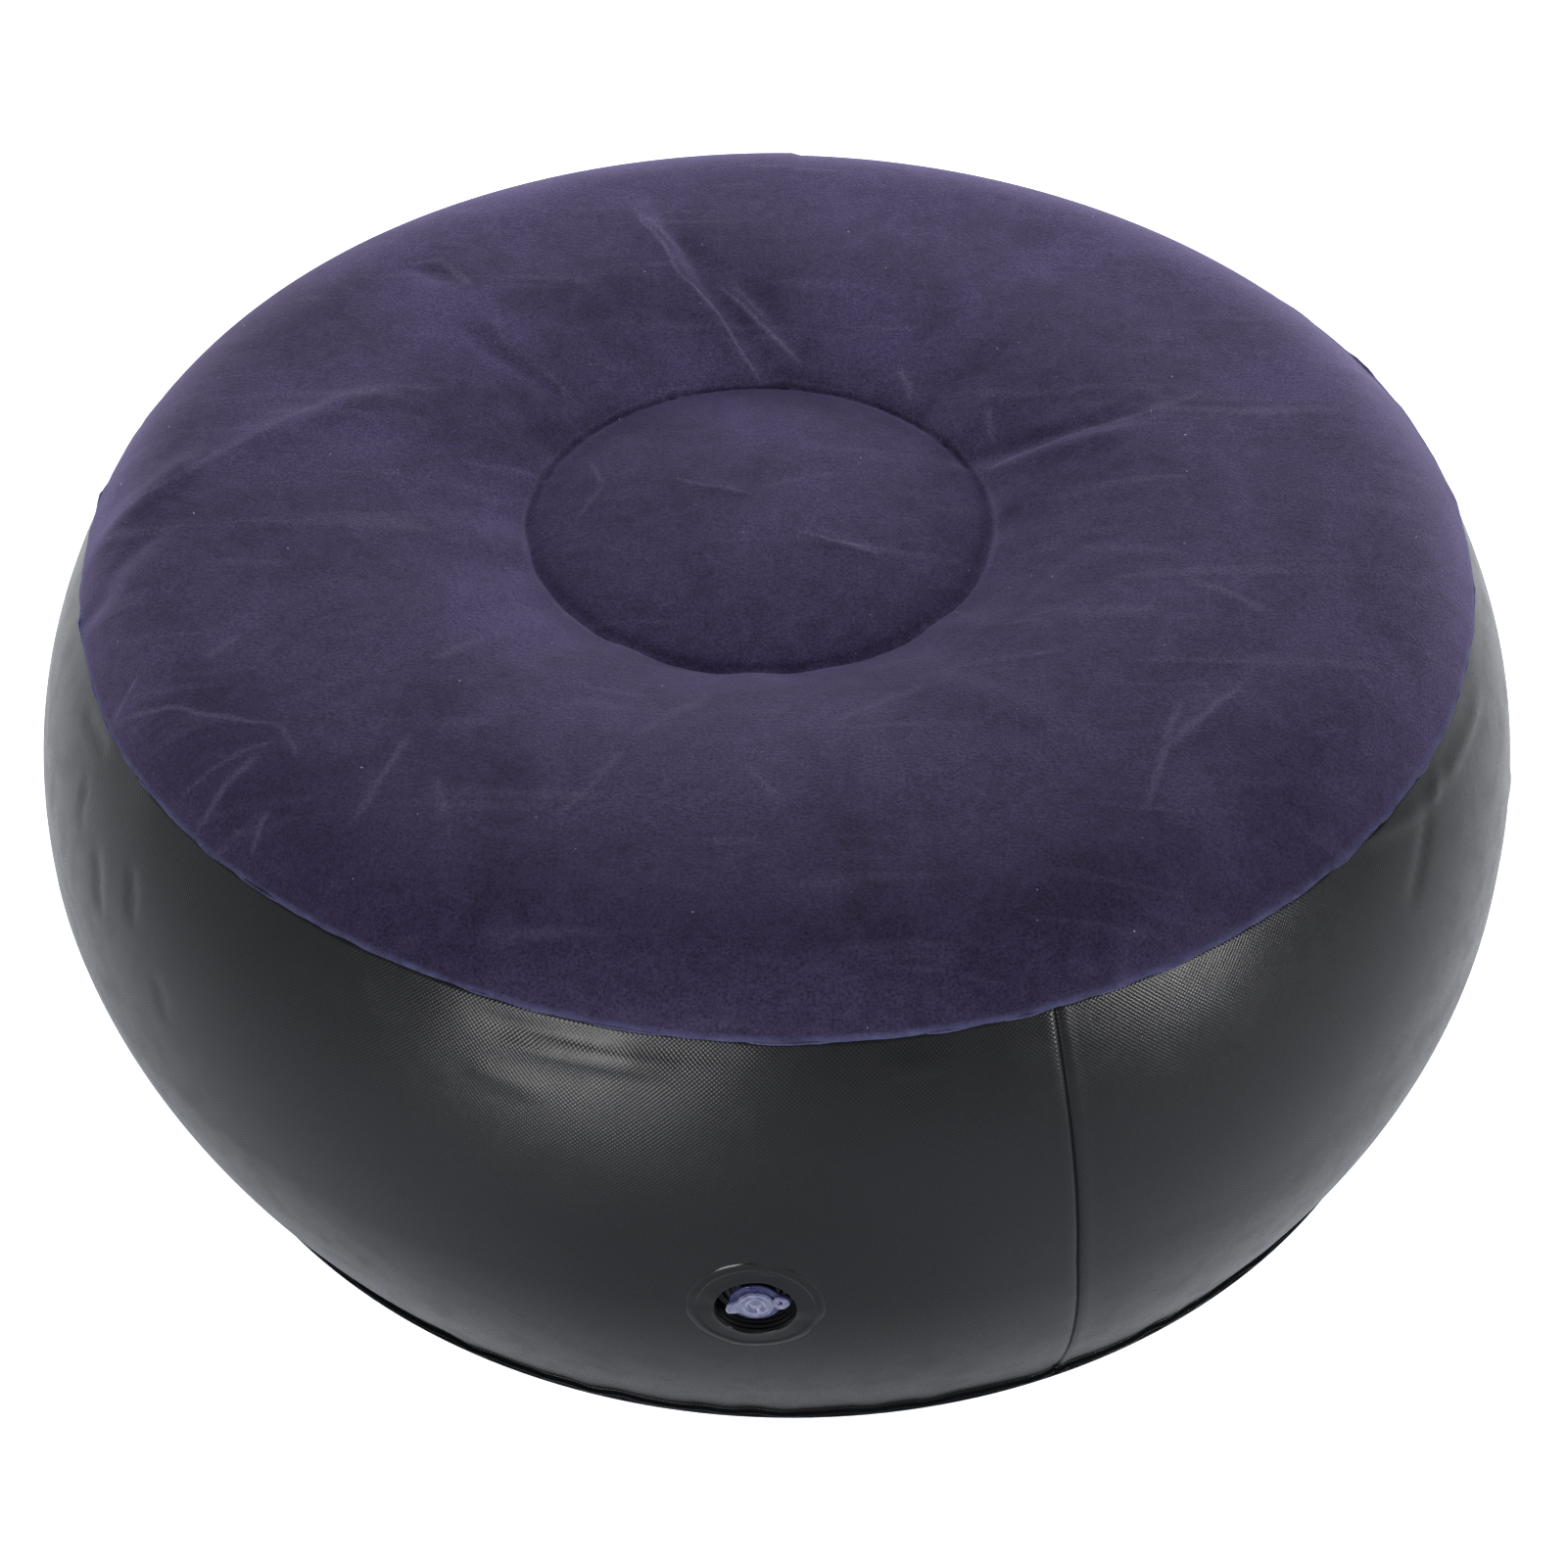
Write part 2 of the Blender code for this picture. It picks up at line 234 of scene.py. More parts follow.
# %% Camera
camera_turn = math.radians(1.4)
camera_tilt = math.radians(43.11)
camera_distance = 1.357
camera_lens, camera_sensor = 68.36, 36
camera_aside = 0.0028
aim = Vector((0, 0, 0.1061))
aside = Vector((math.cos(camera_turn), math.sin(camera_turn), 0)) * camera_aside
towards_camera = Vector((
    math.cos(camera_tilt) * math.sin(camera_turn),
    -math.cos(camera_tilt) * math.cos(camera_turn),
    math.sin(camera_tilt),
))
camera_data = bpy.data.cameras.new("camera")
camera_data.lens = camera_lens
camera_data.sensor_width = camera_sensor
camera = bpy.data.objects.new("camera", camera_data)
camera.location = aim + aside + towards_camera * camera_distance
camera.rotation_euler = (-towards_camera).to_track_quat("-Z", "Y").to_euler()
bpy.context.scene.collection.objects.link(camera)
bpy.context.scene.camera = camera
print("camera at", tuple(round(x, 3) for x in camera.location))


# %% Floor
floor_half = 4.0
floor_drop = 0.0004
floor_tint = (0.83, 0.89, 1.0, 1)
glow_to_camera = 1.3
floor_paint = bpy.data.materials.new("studio_floor")
floor_paint.use_nodes = True
paper = Tree(floor_paint.node_tree)
paper_shader = floor_paint.node_tree.nodes["Principled BSDF"]
paper_shader.inputs["Base Color"].default_value = (0.6, 0.6, 0.6, 1)
paper_shader.inputs["Roughness"].default_value = 0.9
paper_shader.inputs["Emission Color"].default_value = floor_tint
rays = paper.add("ShaderNodeLightPath").outputs
beside = paper.parts(paper.add("ShaderNodeTexCoord").outputs["Object"])["X"]
beside = paper.maths("ABSOLUTE", beside)
brighter_beside = paper.remap(beside, 0.08, 0.28, 0.29, 0.56)
fading_away = paper.remap(beside, 0.6, 1.4, 1.0, 0.6)
glow_to_gloss = paper.maths("MULTIPLY", brighter_beside, fading_away)
glow = paper.maths("MULTIPLY", rays["Is Camera Ray"], glow_to_camera)
glow = paper.maths("MULTIPLY_ADD", rays["Is Glossy Ray"], glow_to_gloss, glow)
floor_paint.node_tree.links.new(glow, paper_shader.inputs["Emission Strength"])
floor_mesh = bpy.data.meshes.new("studio_floor")
floor_corners = [(x * floor_half, y * floor_half, 0) for x, y in ((-1, -1), (1, -1), (1, 1), (-1, 1))]
floor_mesh.from_pydata(floor_corners, [], [(0, 1, 2, 3)])
floor_mesh.materials.append(floor_paint)
studio_floor = bpy.data.objects.new("studio_floor", floor_mesh)
studio_floor.location.z = -floor_drop
bpy.context.scene.collection.objects.link(studio_floor)


# %% Lights
light_aim = Vector((0, 0, 0.2))


def softbox(name, place, size, power):
    """A square panel of light at place, turned to face the stool."""
    light = bpy.data.lights.new(name, "AREA")
    light.shape = "RECTANGLE"
    light.size = light.size_y = size
    light.energy = power
    panel = bpy.data.objects.new(name, light)
    panel.location = place
    panel.rotation_euler = (light_aim - Vector(place)).to_track_quat("-Z", "Y").to_euler()
    bpy.context.scene.collection.objects.link(panel)


def compass(turn, tilt, distance):
    """A place at a turn from the front towards +X and a tilt above the aim, both in degrees."""
    turn, tilt = math.radians(turn), math.radians(tilt)
    return (
        distance * math.cos(tilt) * math.sin(turn),
        -distance * math.cos(tilt) * math.cos(turn),
        distance * math.sin(tilt) + light_aim.z,
    )


panels = (
    # name, turn and tilt in degrees, distance and size in metres, power in watts
    ("back_right", 145, 4, 2.4, 0.7, 50),
    ("back_left", -155, 4, 2.4, 0.7, 24),
    ("side_left", -125, 6, 2.4, 0.7, 17),
    ("front_left", -24, 11, 2.4, 0.85, 29),
    ("front_right", 56, 13, 2.4, 0.45, 22),
    ("high_back", 165, 50, 1.2, 0.5, 5.4),
    ("near_back", -165, 42, 1.0, 0.5, 2.2),
    ("overhead", -15, 70, 1.2, 0.07, 0.7),
)
for name, turn, tilt, distance, size, power in panels:
    softbox(name, compass(turn, tilt, distance), size, power)

horizon_glow, zenith_glow, ambient_glow = 0.63, 0.03, 0.03
world = bpy.data.worlds.new("studio")
world.use_nodes = True
sky = Tree(world.node_tree)
rays = sky.add("ShaderNodeLightPath").outputs
upward = sky.parts(sky.add("ShaderNodeTexCoord").outputs["Generated"])["Z"]
horizon = sky.remap(sky.maths("ABSOLUTE", upward), 0.08, 0.32, horizon_glow, zenith_glow)
glow = sky.maths("MULTIPLY_ADD", rays["Is Glossy Ray"], horizon, rays["Is Camera Ray"])
backdrop = world.node_tree.nodes["Background"]
world.node_tree.links.new(sky.maths("ADD", glow, ambient_glow), backdrop.inputs["Strength"])
backdrop.inputs["Color"].default_value = (0.97, 0.98, 1.0, 1)
bpy.context.scene.world = world
bpy.context.scene.view_settings.view_transform = "Standard"

# %% [markdown]
# ### Woven emboss
# The wall's film is rolled against a woven belt while it is warm, which leaves a grid of tiny pillows. The
# product of two waves makes one pillow for every crossing, on the unrolled strip, in metres.
# The belt's threads lie a little closer along the strip's width than along its length.

# %% Group: woven emboss
tree, entry, leave = new_group(
    "woven_emboss",
    [("Sheet", VECTOR, None), ("Pitch", FLOAT, 0.0019), ("Squash", FLOAT, 0.8)],
    [("Height", FLOAT), ("Wear", FLOAT)],
)
threads = tree.parts(entry["Sheet"])
turns = tree.maths("DIVIDE", 2 * math.pi, entry["Pitch"])
across = tree.maths("COSINE", tree.maths("MULTIPLY", threads["X"], turns))
closer_turns = tree.maths("DIVIDE", turns, entry["Squash"])
along = tree.maths("COSINE", tree.maths("MULTIPLY", threads["Y"], closer_turns))
pillow = tree.maths("MULTIPLY", across, along)
depth = tree.noise(entry["Sheet"], 14.0, 3.0)
depth = tree.remap(depth, 0.3, 0.7, 0.6, 1.0)
tree.tree.links.new(tree.maths("MULTIPLY", pillow, depth), leave["Height"])
tree.tree.links.new(tree.remap(tree.noise(entry["Sheet"], 60.0, 4.0), 0.45, 0.75), leave["Wear"])
woven_emboss = tree.tree

# %% [markdown]
# ### Flock nap
# Flock is short fibre stood on end in glue. Brushed one way it looks light, the other way dark, so hands
# leave cloudy patches and short soft strokes in it. Noises of three sizes make the clouds, the mottling and
# the single tufts. The strokes are three noises, each stretched its own way, of which only the peaks count.

# %% Group: flock nap
tree, entry, leave = new_group(
    "flock_nap",
    [
        ("Place", VECTOR, None),
        ("Cloud Size", FLOAT, 0.07),
        ("Mottle Size", FLOAT, 0.011),
        ("Tuft Size", FLOAT, 0.0011),
    ],
    [("Shade", FLOAT), ("Strokes", FLOAT), ("Tufts", FLOAT)],
)
clouds = tree.noise(entry["Place"], tree.maths("DIVIDE", 1.0, entry["Cloud Size"]), 4.0, 0.55, 0.6)
mottle = tree.noise(entry["Place"], tree.maths("DIVIDE", 1.0, entry["Mottle Size"]), 4.0, 0.7, 0.8)
tufts = tree.noise(entry["Place"], tree.maths("DIVIDE", 1.0, entry["Tuft Size"]), 2.0, 0.7)
shade = tree.maths("ADD", tree.maths("MULTIPLY", clouds, 0.6), tree.maths("MULTIPLY", mottle, 0.4))
strokes = 0.0
stroke_stretch = (0.22, 1.9, 1.0)
for turn, size, keep in ((1.05, 34.0, 0.60), (-0.75, 28.0, 0.63), (0.35, 46.0, 0.64)):
    stretched = {"Vector": entry["Place"], "Rotation": (0, 0, -turn), "Scale": stroke_stretch}
    brushed = tree.add("ShaderNodeMapping", stretched).outputs[0]
    peaks = tree.remap(tree.noise(brushed, size, 2.5, 0.6, 0.4), keep, keep + 0.16)
    strokes = tree.maths("ADD", strokes, peaks)
tree.tree.links.new(shade, leave["Shade"])
tree.tree.links.new(strokes, leave["Strokes"])
tree.tree.links.new(tufts, leave["Tufts"])
flock_nap = tree.tree

# %% [markdown]
# ### A fold's worn and highlighted line
# Where a fold stood up in the box, its ridge was rubbed, and it is painted as one light line: partly that worn
# nap, partly a painted highlight on the fold's thin ridge. The group measures how far a place lies from a
# straight line, seen from above, and fades the line out towards both ends.

# %% Group: worn and highlighted fold line
tree, entry, leave = new_group(
    "fold_wear_and_highlight",
    [("Place", VECTOR, None), ("Start", VECTOR, None), ("End", VECTOR, None), ("Width", FLOAT, 0.001)],
    [("Line", FLOAT)],
)
flat_place = tree.vector("MULTIPLY", entry["Place"], (1, 1, 0))
from_start = tree.vector("SUBTRACT", flat_place, entry["Start"])
whole = tree.vector("SUBTRACT", entry["End"], entry["Start"])
covered = tree.vector("DOT_PRODUCT", from_start, whole)
share = tree.maths("DIVIDE", covered, tree.vector("DOT_PRODUCT", whole, whole))
share = tree.remap(share, 0.0, 1.0)
nearest = tree.scale(whole, share)
off_line = tree.vector("LENGTH", tree.vector("SUBTRACT", from_start, nearest))
off_line = tree.maths("DIVIDE", off_line, entry["Width"])
ridge = tree.bell(off_line)
ends = tree.maths("MULTIPLY", tree.maths("MULTIPLY", share, tree.maths("SUBTRACT", 1.0, share)), 6.0)
tree.tree.links.new(tree.maths("MULTIPLY", ridge, tree.maths("MINIMUM", ends, 1.0)), leave["Line"])
fold_wear_and_highlight = tree.tree

print("node groups:", [group.name for group in bpy.data.node_groups])

# %% [markdown]
# ## Finishes
# Five finishes cover the stool: purple flock, embossed black film, smooth black film, and clear bluish film in
# a pale and a deep tint. A sixth is for the lint on the flock.


# %% Start a material
def start_material(name):
    """A material with a Principled BSDF, its tree, and the sockets of its texture coordinates."""
    material = bpy.data.materials.new(name)
    material.use_nodes = True
    tree = Tree(material.node_tree)
    shader = material.node_tree.nodes["Principled BSDF"]
    place = tree.add("ShaderNodeTexCoord").outputs
    return material, tree, shader, place


def place_group(tree, group, values):
    node = tree.add("ShaderNodeGroup", node_tree=group)
    for key, value in values.items():
        if isinstance(value, bpy.types.NodeSocket):
            tree.tree.links.new(value, node.inputs[key])
        else:
            node.inputs[key].default_value = value
    return node.outputs


# %% Purple flock
flock_dark = (0.0275, 0.0213, 0.053, 1)
flock_pale = (0.058, 0.0455, 0.109, 1)
flock_light_nap_and_highlight = (0.112, 0.095, 0.170, 1)
cut_edge_blue = (0.085, 0.09, 0.19, 1)
weld_highlight_out, weld_highlight_width = 0.0024, 0.0010
# Light lines along the folds: partly worn nap, partly a painted highlight on each fold's thin ridge.
fold_wear_and_highlights = (
    # start, end, width and strength of each line
    ((-0.073, 0.208), (-0.044, 0.147), 0.0011, 0.8),
    ((-0.048, 0.155), (-0.008, 0.098), 0.0009, 1.0),
    ((-0.068, 0.201), (-0.046, 0.168), 0.0016, 0.5),
    ((-0.033, 0.152), (0.010, 0.104), 0.0013, 0.9),
    ((-0.026, 0.151), (-0.006, 0.128), 0.0024, 0.5),
    ((-0.132, 0.110), (-0.087, 0.071), 0.0022, 0.4),
    ((-0.283, -0.027), (-0.248, -0.002), 0.0018, 0.6),
    ((-0.252, -0.007), (-0.215, 0.034), 0.0022, 0.7),
    ((-0.222, 0.029), (-0.186, 0.056), 0.0024, 0.6),
    ((-0.190, 0.053), (-0.145, 0.067), 0.0026, 0.4),
    ((-0.173, 0.156), (-0.154, 0.162), 0.0016, 0.6),
    ((-0.158, 0.163), (-0.141, 0.138), 0.0018, 0.6),
    ((0.088, 0.036), (0.114, 0.041), 0.0009, 1.0),
    ((0.108, 0.040), (0.156, 0.053), 0.0011, 0.8),
    ((0.140, 0.047), (0.190, 0.072), 0.0016, 0.4),
    ((0.051, 0.102), (0.058, 0.083), 0.0020, 0.7),
    ((0.089, 0.070), (0.093, 0.050), 0.0012, 0.6),
    ((-0.081, 0.036), (-0.074, 0.014), 0.0013, 0.7),
    ((-0.074, 0.016), (-0.084, -0.008), 0.0012, 0.6),
    ((0.008, -0.019), (0.044, -0.032), 0.0010, 0.9),
    ((-0.045, 0.016), (-0.012, 0.004), 0.0012, 0.6),
    ((-0.010, 0.008), (0.030, 0.022), 0.0016, 0.4),
    ((-0.257, -0.132), (-0.247, -0.118), 0.0010, 1.0),
    ((-0.258, -0.132), (-0.180, -0.160), 0.0012, 0.8),
    ((-0.224, -0.181), (-0.181, -0.164), 0.0010, 0.7),
    ((-0.214, -0.194), (-0.188, -0.171), 0.0018, 1.0),
    ((-0.190, -0.211), (-0.183, -0.197), 0.0013, 1.0),
    ((-0.184, -0.157), (-0.174, -0.176), 0.0014, 0.6),
    ((-0.221, -0.120), (-0.207, -0.104), 0.0016, 0.7),
    ((-0.153, -0.212), (-0.132, -0.160), 0.0019, 0.8),
    ((-0.122, -0.183), (-0.116, -0.209), 0.0018, 0.7),
    ((-0.130, -0.119), (-0.111, -0.094), 0.0018, 0.5),
    ((0.148, -0.166), (0.186, -0.120), 0.0017, 0.7),
    ((0.138, -0.198), (0.160, -0.130), 0.0017, 0.7),
    ((0.165, -0.060), (0.200, -0.082), 0.0019, 0.6),
    ((0.120, -0.030), (0.165, -0.045), 0.0026, 0.4),
    ((0.020, -0.150), (0.062, -0.118), 0.0022, 0.4),
    ((-0.010, -0.172), (0.008, -0.196), 0.0018, 0.5),
    ((-0.075, -0.205), (-0.052, -0.166), 0.0020, 0.6),
    ((-0.052, -0.160), (-0.022, -0.126), 0.0024, 0.4),
)
flock, tree, shader, place = start_material("purple_flock")
nap = place_group(tree, flock_nap, {"Place": place["Object"]})
wander = {"Vector": place["Object"], "Scale": 45.0, "Detail": 2.0}
wander = tree.add("ShaderNodeTexNoise", wander).outputs["Color"]
wander = tree.vector("SUBTRACT", wander, (0.5, 0.5, 0.5))
bent_place = tree.vector("ADD", place["Object"], tree.scale(wander, 0.007))
fold_wear_and_highlight_mask = 0.0
crossed_place = bent_place
for start, end, width, strength in fold_wear_and_highlights:
    fold = {"Place": crossed_place, "Start": (*start, 0), "End": (*end, 0), "Width": width}
    fold_wear_and_highlight_mask = tree.maths("MULTIPLY_ADD", place_group(tree, fold_wear_and_highlight, fold)["Line"], strength, fold_wear_and_highlight_mask)
    step_aside = {0: fold_wear_and_highlight_mask, 1: (0.0003, 0.0003, 0), 2: bent_place}
    crossed_place = tree.add("ShaderNodeVectorMath", step_aside, operation="MULTIPLY_ADD").outputs["Vector"]
# Painted highlight: a light line on the ridge just outside the tie weld.
from_disc = tree.vector("ADD", place["Object"], (-disc_shift, 0, 0))
from_disc = tree.vector("LENGTH", tree.vector("MULTIPLY", from_disc, (1, 1, 0)))
weld_line = tree.maths("SUBTRACT", from_disc, tie_radius + weld_highlight_out)
weld_line = tree.bell(tree.maths("DIVIDE", weld_line, weld_highlight_width))
edge = tree.add("ShaderNodeAttribute", attribute_name="raw_edge").outputs["Fac"]
tone = tree.add("ShaderNodeValToRGB", {0: nap["Shade"]})
tone.color_ramp.elements[0].position = 0.38
tone.color_ramp.elements[0].color = flock_dark
tone.color_ramp.elements[1].position = 0.62
tone.color_ramp.elements[1].color = flock_pale
# The pale colour is partly the nap's own strokes and worn fold lines, and partly painted highlight on the fold
# ridges and beside the weld.
light = tree.maths("ADD", tree.maths("MULTIPLY", nap["Strokes"], 0.34), tree.maths("MULTIPLY", fold_wear_and_highlight_mask, 0.62))
light = tree.maths("ADD", light, tree.maths("MULTIPLY", weld_line, 0.22))
colour = tree.mix(tree.maths("MINIMUM", light, 0.85), tone.outputs[0], flock_light_nap_and_highlight)
colour = tree.scale(colour, tree.remap(nap["Tufts"], 0.33, 0.67, 0.60, 1.46))
# Painted shade: the flock is darker towards the front, which the lights from behind reach less.
painted_front_shade = tree.remap(tree.parts(place["Object"])["Y"], -0.215, -0.125, 0.76, 1.0)
colour = tree.scale(colour, painted_front_shade)
edge_blotch = tree.remap(tree.noise(place["Object"], 160.0, 3.0), 0.35, 0.65, 0.35, 1.0)
colour = tree.mix(tree.maths("MULTIPLY", edge, edge_blotch), colour, cut_edge_blue)
tree.tree.links.new(colour, shader.inputs["Base Color"])
shader.inputs["Roughness"].default_value = 0.92
shader.inputs["Specular IOR Level"].default_value = 0.12
shader.inputs["Sheen Weight"].default_value = 0.30
shader.inputs["Sheen Roughness"].default_value = 0.5
shader.inputs["Sheen Tint"].default_value = (0.50, 0.42, 0.80, 1)
bump = tree.add("ShaderNodeBump", {"Strength": 0.6, "Distance": 0.0006, "Height": nap["Tufts"]})
tree.tree.links.new(bump.outputs[0], shader.inputs["Normal"])


# %% Embossed and smooth black film
film_black = (0.0090, 0.0094, 0.0115, 1)
film_worn = (0.0125, 0.0130, 0.0155, 1)


def black_film(name, emboss, roughness):
    """Black gloss film. emboss is the depth of its woven relief, in metres, and 0 leaves it smooth."""
    material, tree, shader, place = start_material(name)
    here = tree.parts(place["Object"])
    around_stool = tree.maths("MULTIPLY", tree.maths("ARCTAN2", here["X"], here["Y"]), belly)
    strip = tree.add("ShaderNodeCombineXYZ", {"X": around_stool, "Y": here["Z"]}).outputs[0]
    weave = place_group(tree, woven_emboss, {"Sheet": strip})
    soft = tree.noise(place["Object"], 7.0, 3.0)
    colour = tree.mix(tree.remap(soft, 0.3, 0.7), film_black, film_worn)
    tree.tree.links.new(colour, shader.inputs["Base Color"])
    rough = tree.remap(tree.maths("ADD", weave["Wear"], soft), 0.3, 1.4, roughness - 0.03, roughness + 0.07)
    tree.tree.links.new(rough, shader.inputs["Roughness"])
    weld = tree.add("ShaderNodeAttribute", attribute_name="weld_line").outputs["Fac"]
    weld = tree.remap(weld, 0.30, 0.62)
    shader.inputs["IOR"].default_value = 1.34
    tree.tree.links.new(tree.remap(weld, 0.0, 1.0, 0.5, 0.02), shader.inputs["Specular IOR Level"])
    broad = tree.maths("MULTIPLY", tree.noise(place["Object"], 14.0, 1.0), 0.00008)
    relief = tree.maths("MULTIPLY_ADD", weave["Height"], emboss, broad)
    bump = tree.add("ShaderNodeBump", {"Strength": 1.0, "Distance": 1.0, "Height": relief})
    tree.tree.links.new(bump.outputs[0], shader.inputs["Normal"])
    return material


embossed_film = black_film("embossed_black_film", 0.00004, 0.27)
smooth_film = black_film("smooth_black_film", 0.0, 0.13)

# %% Clear bluish film
clear_film, tree, shader, place = start_material("clear_blue_film")
cloud = tree.noise(place["Object"], 420.0, 3.0)
colour = tree.mix(tree.remap(cloud, 0.3, 0.7), (0.18, 0.20, 0.40, 1), (0.44, 0.47, 0.74, 1))
# Painted highlight: faces turned away from the camera are painted pale, for the bright edges of the clear
# film.
edge_highlight_facing = tree.add("ShaderNodeLayerWeight", {"Blend": 0.35}).outputs["Facing"]
colour = tree.mix(tree.remap(edge_highlight_facing, 0.24, 0.55), colour, (0.86, 0.89, 1.0, 1))
tree.tree.links.new(colour, shader.inputs["Base Color"])
shader.inputs["Roughness"].default_value = 0.08
shader.inputs["IOR"].default_value = 1.45
shader.inputs["Transmission Weight"].default_value = 0.55
bump = tree.add("ShaderNodeBump", {"Strength": 0.35, "Distance": 0.0002, "Height": cloud})
tree.tree.links.new(bump.outputs[0], shader.inputs["Normal"])

deep_film, tree, shader, place = start_material("deep_blue_film")
cloud = tree.noise(place["Object"], 500.0, 2.0)
colour = tree.mix(tree.remap(cloud, 0.3, 0.7), (0.05, 0.055, 0.17, 1), (0.13, 0.14, 0.33, 1))
tree.tree.links.new(colour, shader.inputs["Base Color"])
shader.inputs["Roughness"].default_value = 0.1
shader.inputs["IOR"].default_value = 1.45
shader.inputs["Transmission Weight"].default_value = 0.5
bump = tree.add("ShaderNodeBump", {"Strength": 0.3, "Distance": 0.0002, "Height": cloud})
tree.tree.links.new(bump.outputs[0], shader.inputs["Normal"])
print("finishes:", flock.name, embossed_film.name, smooth_film.name, clear_film.name, deep_film.name)

# %% [markdown]
# ## A lathe made of Geometry Nodes
# Every sheet of the stool is a line turned about an axis. The tree takes that line as its input mesh. It lays
# out a flat grid with a row for each point of the line, then moves every grid point to where its row's point
# lands after its column's share of the turn. The grid also carries a UV map in metres, taken before the ends
# are merged. The finishes here read plain positions instead, and the map is there for any other pattern.

# %% Tree: lathe
lathe = bpy.data.node_groups.new("lathe", "GeometryNodeTree")
for socket_name, socket_type in (
    ("Line", "NodeSocketGeometry"),
    ("Columns", "NodeSocketInt"),
    ("Sweep", FLOAT),
    ("Start", FLOAT),
    ("UV Radius", FLOAT),
    ("Finish", "NodeSocketMaterial"),
):
    lathe.interface.new_socket(socket_name, in_out="INPUT", socket_type=socket_type)
lathe.interface.new_socket("Sheet", in_out="OUTPUT", socket_type="NodeSocketGeometry")
tree = Tree(lathe)
entry = lathe.nodes.new("NodeGroupInput").outputs
leave = lathe.nodes.new("NodeGroupOutput").inputs
rows = tree.add("GeometryNodeAttributeDomainSize", {"Geometry": entry["Line"]}).outputs["Point Count"]
grid = tree.add("GeometryNodeMeshGrid", {"Vertices X": entry["Columns"], "Vertices Y": rows}).outputs["Mesh"]
index = tree.add("GeometryNodeInputIndex").outputs[0]
row = tree.maths("MODULO", index, rows)
column = tree.maths("FLOOR", tree.maths("DIVIDE", index, rows))
share = tree.maths("DIVIDE", column, tree.maths("SUBTRACT", entry["Columns"], 1.0))
turn = tree.maths("MULTIPLY_ADD", share, entry["Sweep"], entry["Start"])
line_place = tree.add("GeometryNodeInputPosition").outputs[0]
sample = tree.add("GeometryNodeSampleIndex", data_type="FLOAT_VECTOR")
for key, value in (("Geometry", entry["Line"]), ("Value", line_place), ("Index", row)):
    lathe.links.new(value, sample.inputs[key])
turned = {"Vector": sample.outputs[0], "Angle": turn}
spun = tree.add("ShaderNodeVectorRotate", turned, rotation_type="Z_AXIS")
run_value = {"Name": "run"}
run_value = tree.add("GeometryNodeInputNamedAttribute", run_value, data_type="FLOAT").outputs[0]
run = tree.add("GeometryNodeSampleIndex", data_type="FLOAT")
for key, value in (("Geometry", entry["Line"]), ("Value", run_value), ("Index", row)):
    lathe.links.new(value, run.inputs[key])
flat = tree.add(
    "ShaderNodeCombineXYZ",
    {"X": tree.maths("MULTIPLY", turn, entry["UV Radius"]), "Y": run.outputs[0]},
)
on_points = tree.add("GeometryNodeFieldOnDomain", data_type="FLOAT_VECTOR", domain="POINT")
lathe.links.new(flat.outputs[0], on_points.inputs[0])
with_uv = tree.add(
    "GeometryNodeStoreNamedAttribute",
    {"Geometry": grid, "Name": "UVMap", "Value": on_points.outputs[0]},
    data_type="FLOAT2",
    domain="CORNER",
)
with_run = tree.add(
    "GeometryNodeStoreNamedAttribute",
    {"Geometry": with_uv.outputs[0], "Name": "run", "Value": run.outputs[0]},
    data_type="FLOAT",
    domain="POINT",
)
shaped = tree.add("GeometryNodeSetPosition", {"Geometry": with_run.outputs[0], "Position": spun.outputs[0]})
merged = tree.add("GeometryNodeMergeByDistance", {"Geometry": shaped.outputs[0], "Distance": 0.000001})
finished = tree.add("GeometryNodeSetMaterial", {"Geometry": merged.outputs[0], "Material": entry["Finish"]})
realised = tree.add("GeometryNodeRealizeInstances", {"Geometry": finished.outputs[0]})
lathe.links.new(realised.outputs[0], leave["Sheet"])
print("lathe:", len(lathe.nodes), "nodes")


# %% Bake a modifier into a plain mesh
def set_input(modifier, name, value):
    """Sets a Geometry Nodes input by its socket's name, which the modifier knows only by identifier."""
    for item in modifier.node_group.interface.items_tree:
        if item.item_type == "SOCKET" and item.in_out == "INPUT" and item.name == name:
            modifier[item.identifier] = value


def bake(obj):
    """Replaces obj's mesh by what its modifiers make of it, and removes them."""
    graph = bpy.context.evaluated_depsgraph_get()
    baked = bpy.data.meshes.new_from_object(obj.evaluated_get(graph))
    obj.modifiers.clear()
    obj.data = baked
    baked.name = obj.name
    return obj


def turn_sheet(name, line, columns, finish, sweep=2 * math.pi, start=0.0, uv_radius=1.0):
    """A sheet made by the lathe from a line of (radius, height) points. It returns a plain mesh object."""
    line = np.asarray(line, float)
    steps = np.linalg.norm(np.diff(line, axis=0), axis=1)
    mesh = bpy.data.meshes.new(name + "_line")
    edges = [(i, i + 1) for i in range(len(line) - 1)]
    mesh.from_pydata([(r, 0, z) for r, z in line], edges, [])
    run = np.concatenate([[0], np.cumsum(steps)])
    mesh.attributes.new("run", "FLOAT", "POINT").data.foreach_set("value", run)
    obj = bpy.data.objects.new(name, mesh)
    bpy.context.scene.collection.objects.link(obj)
    modifier = obj.modifiers.new("lathe", "NODES")
    modifier.node_group = lathe
    for key, value in (
        ("Columns", columns + 1),
        ("Sweep", sweep),
        ("Start", start),
        ("UV Radius", uv_radius),
        ("Finish", finish),
    ):
        set_input(modifier, key, value)
    return bake(obj)


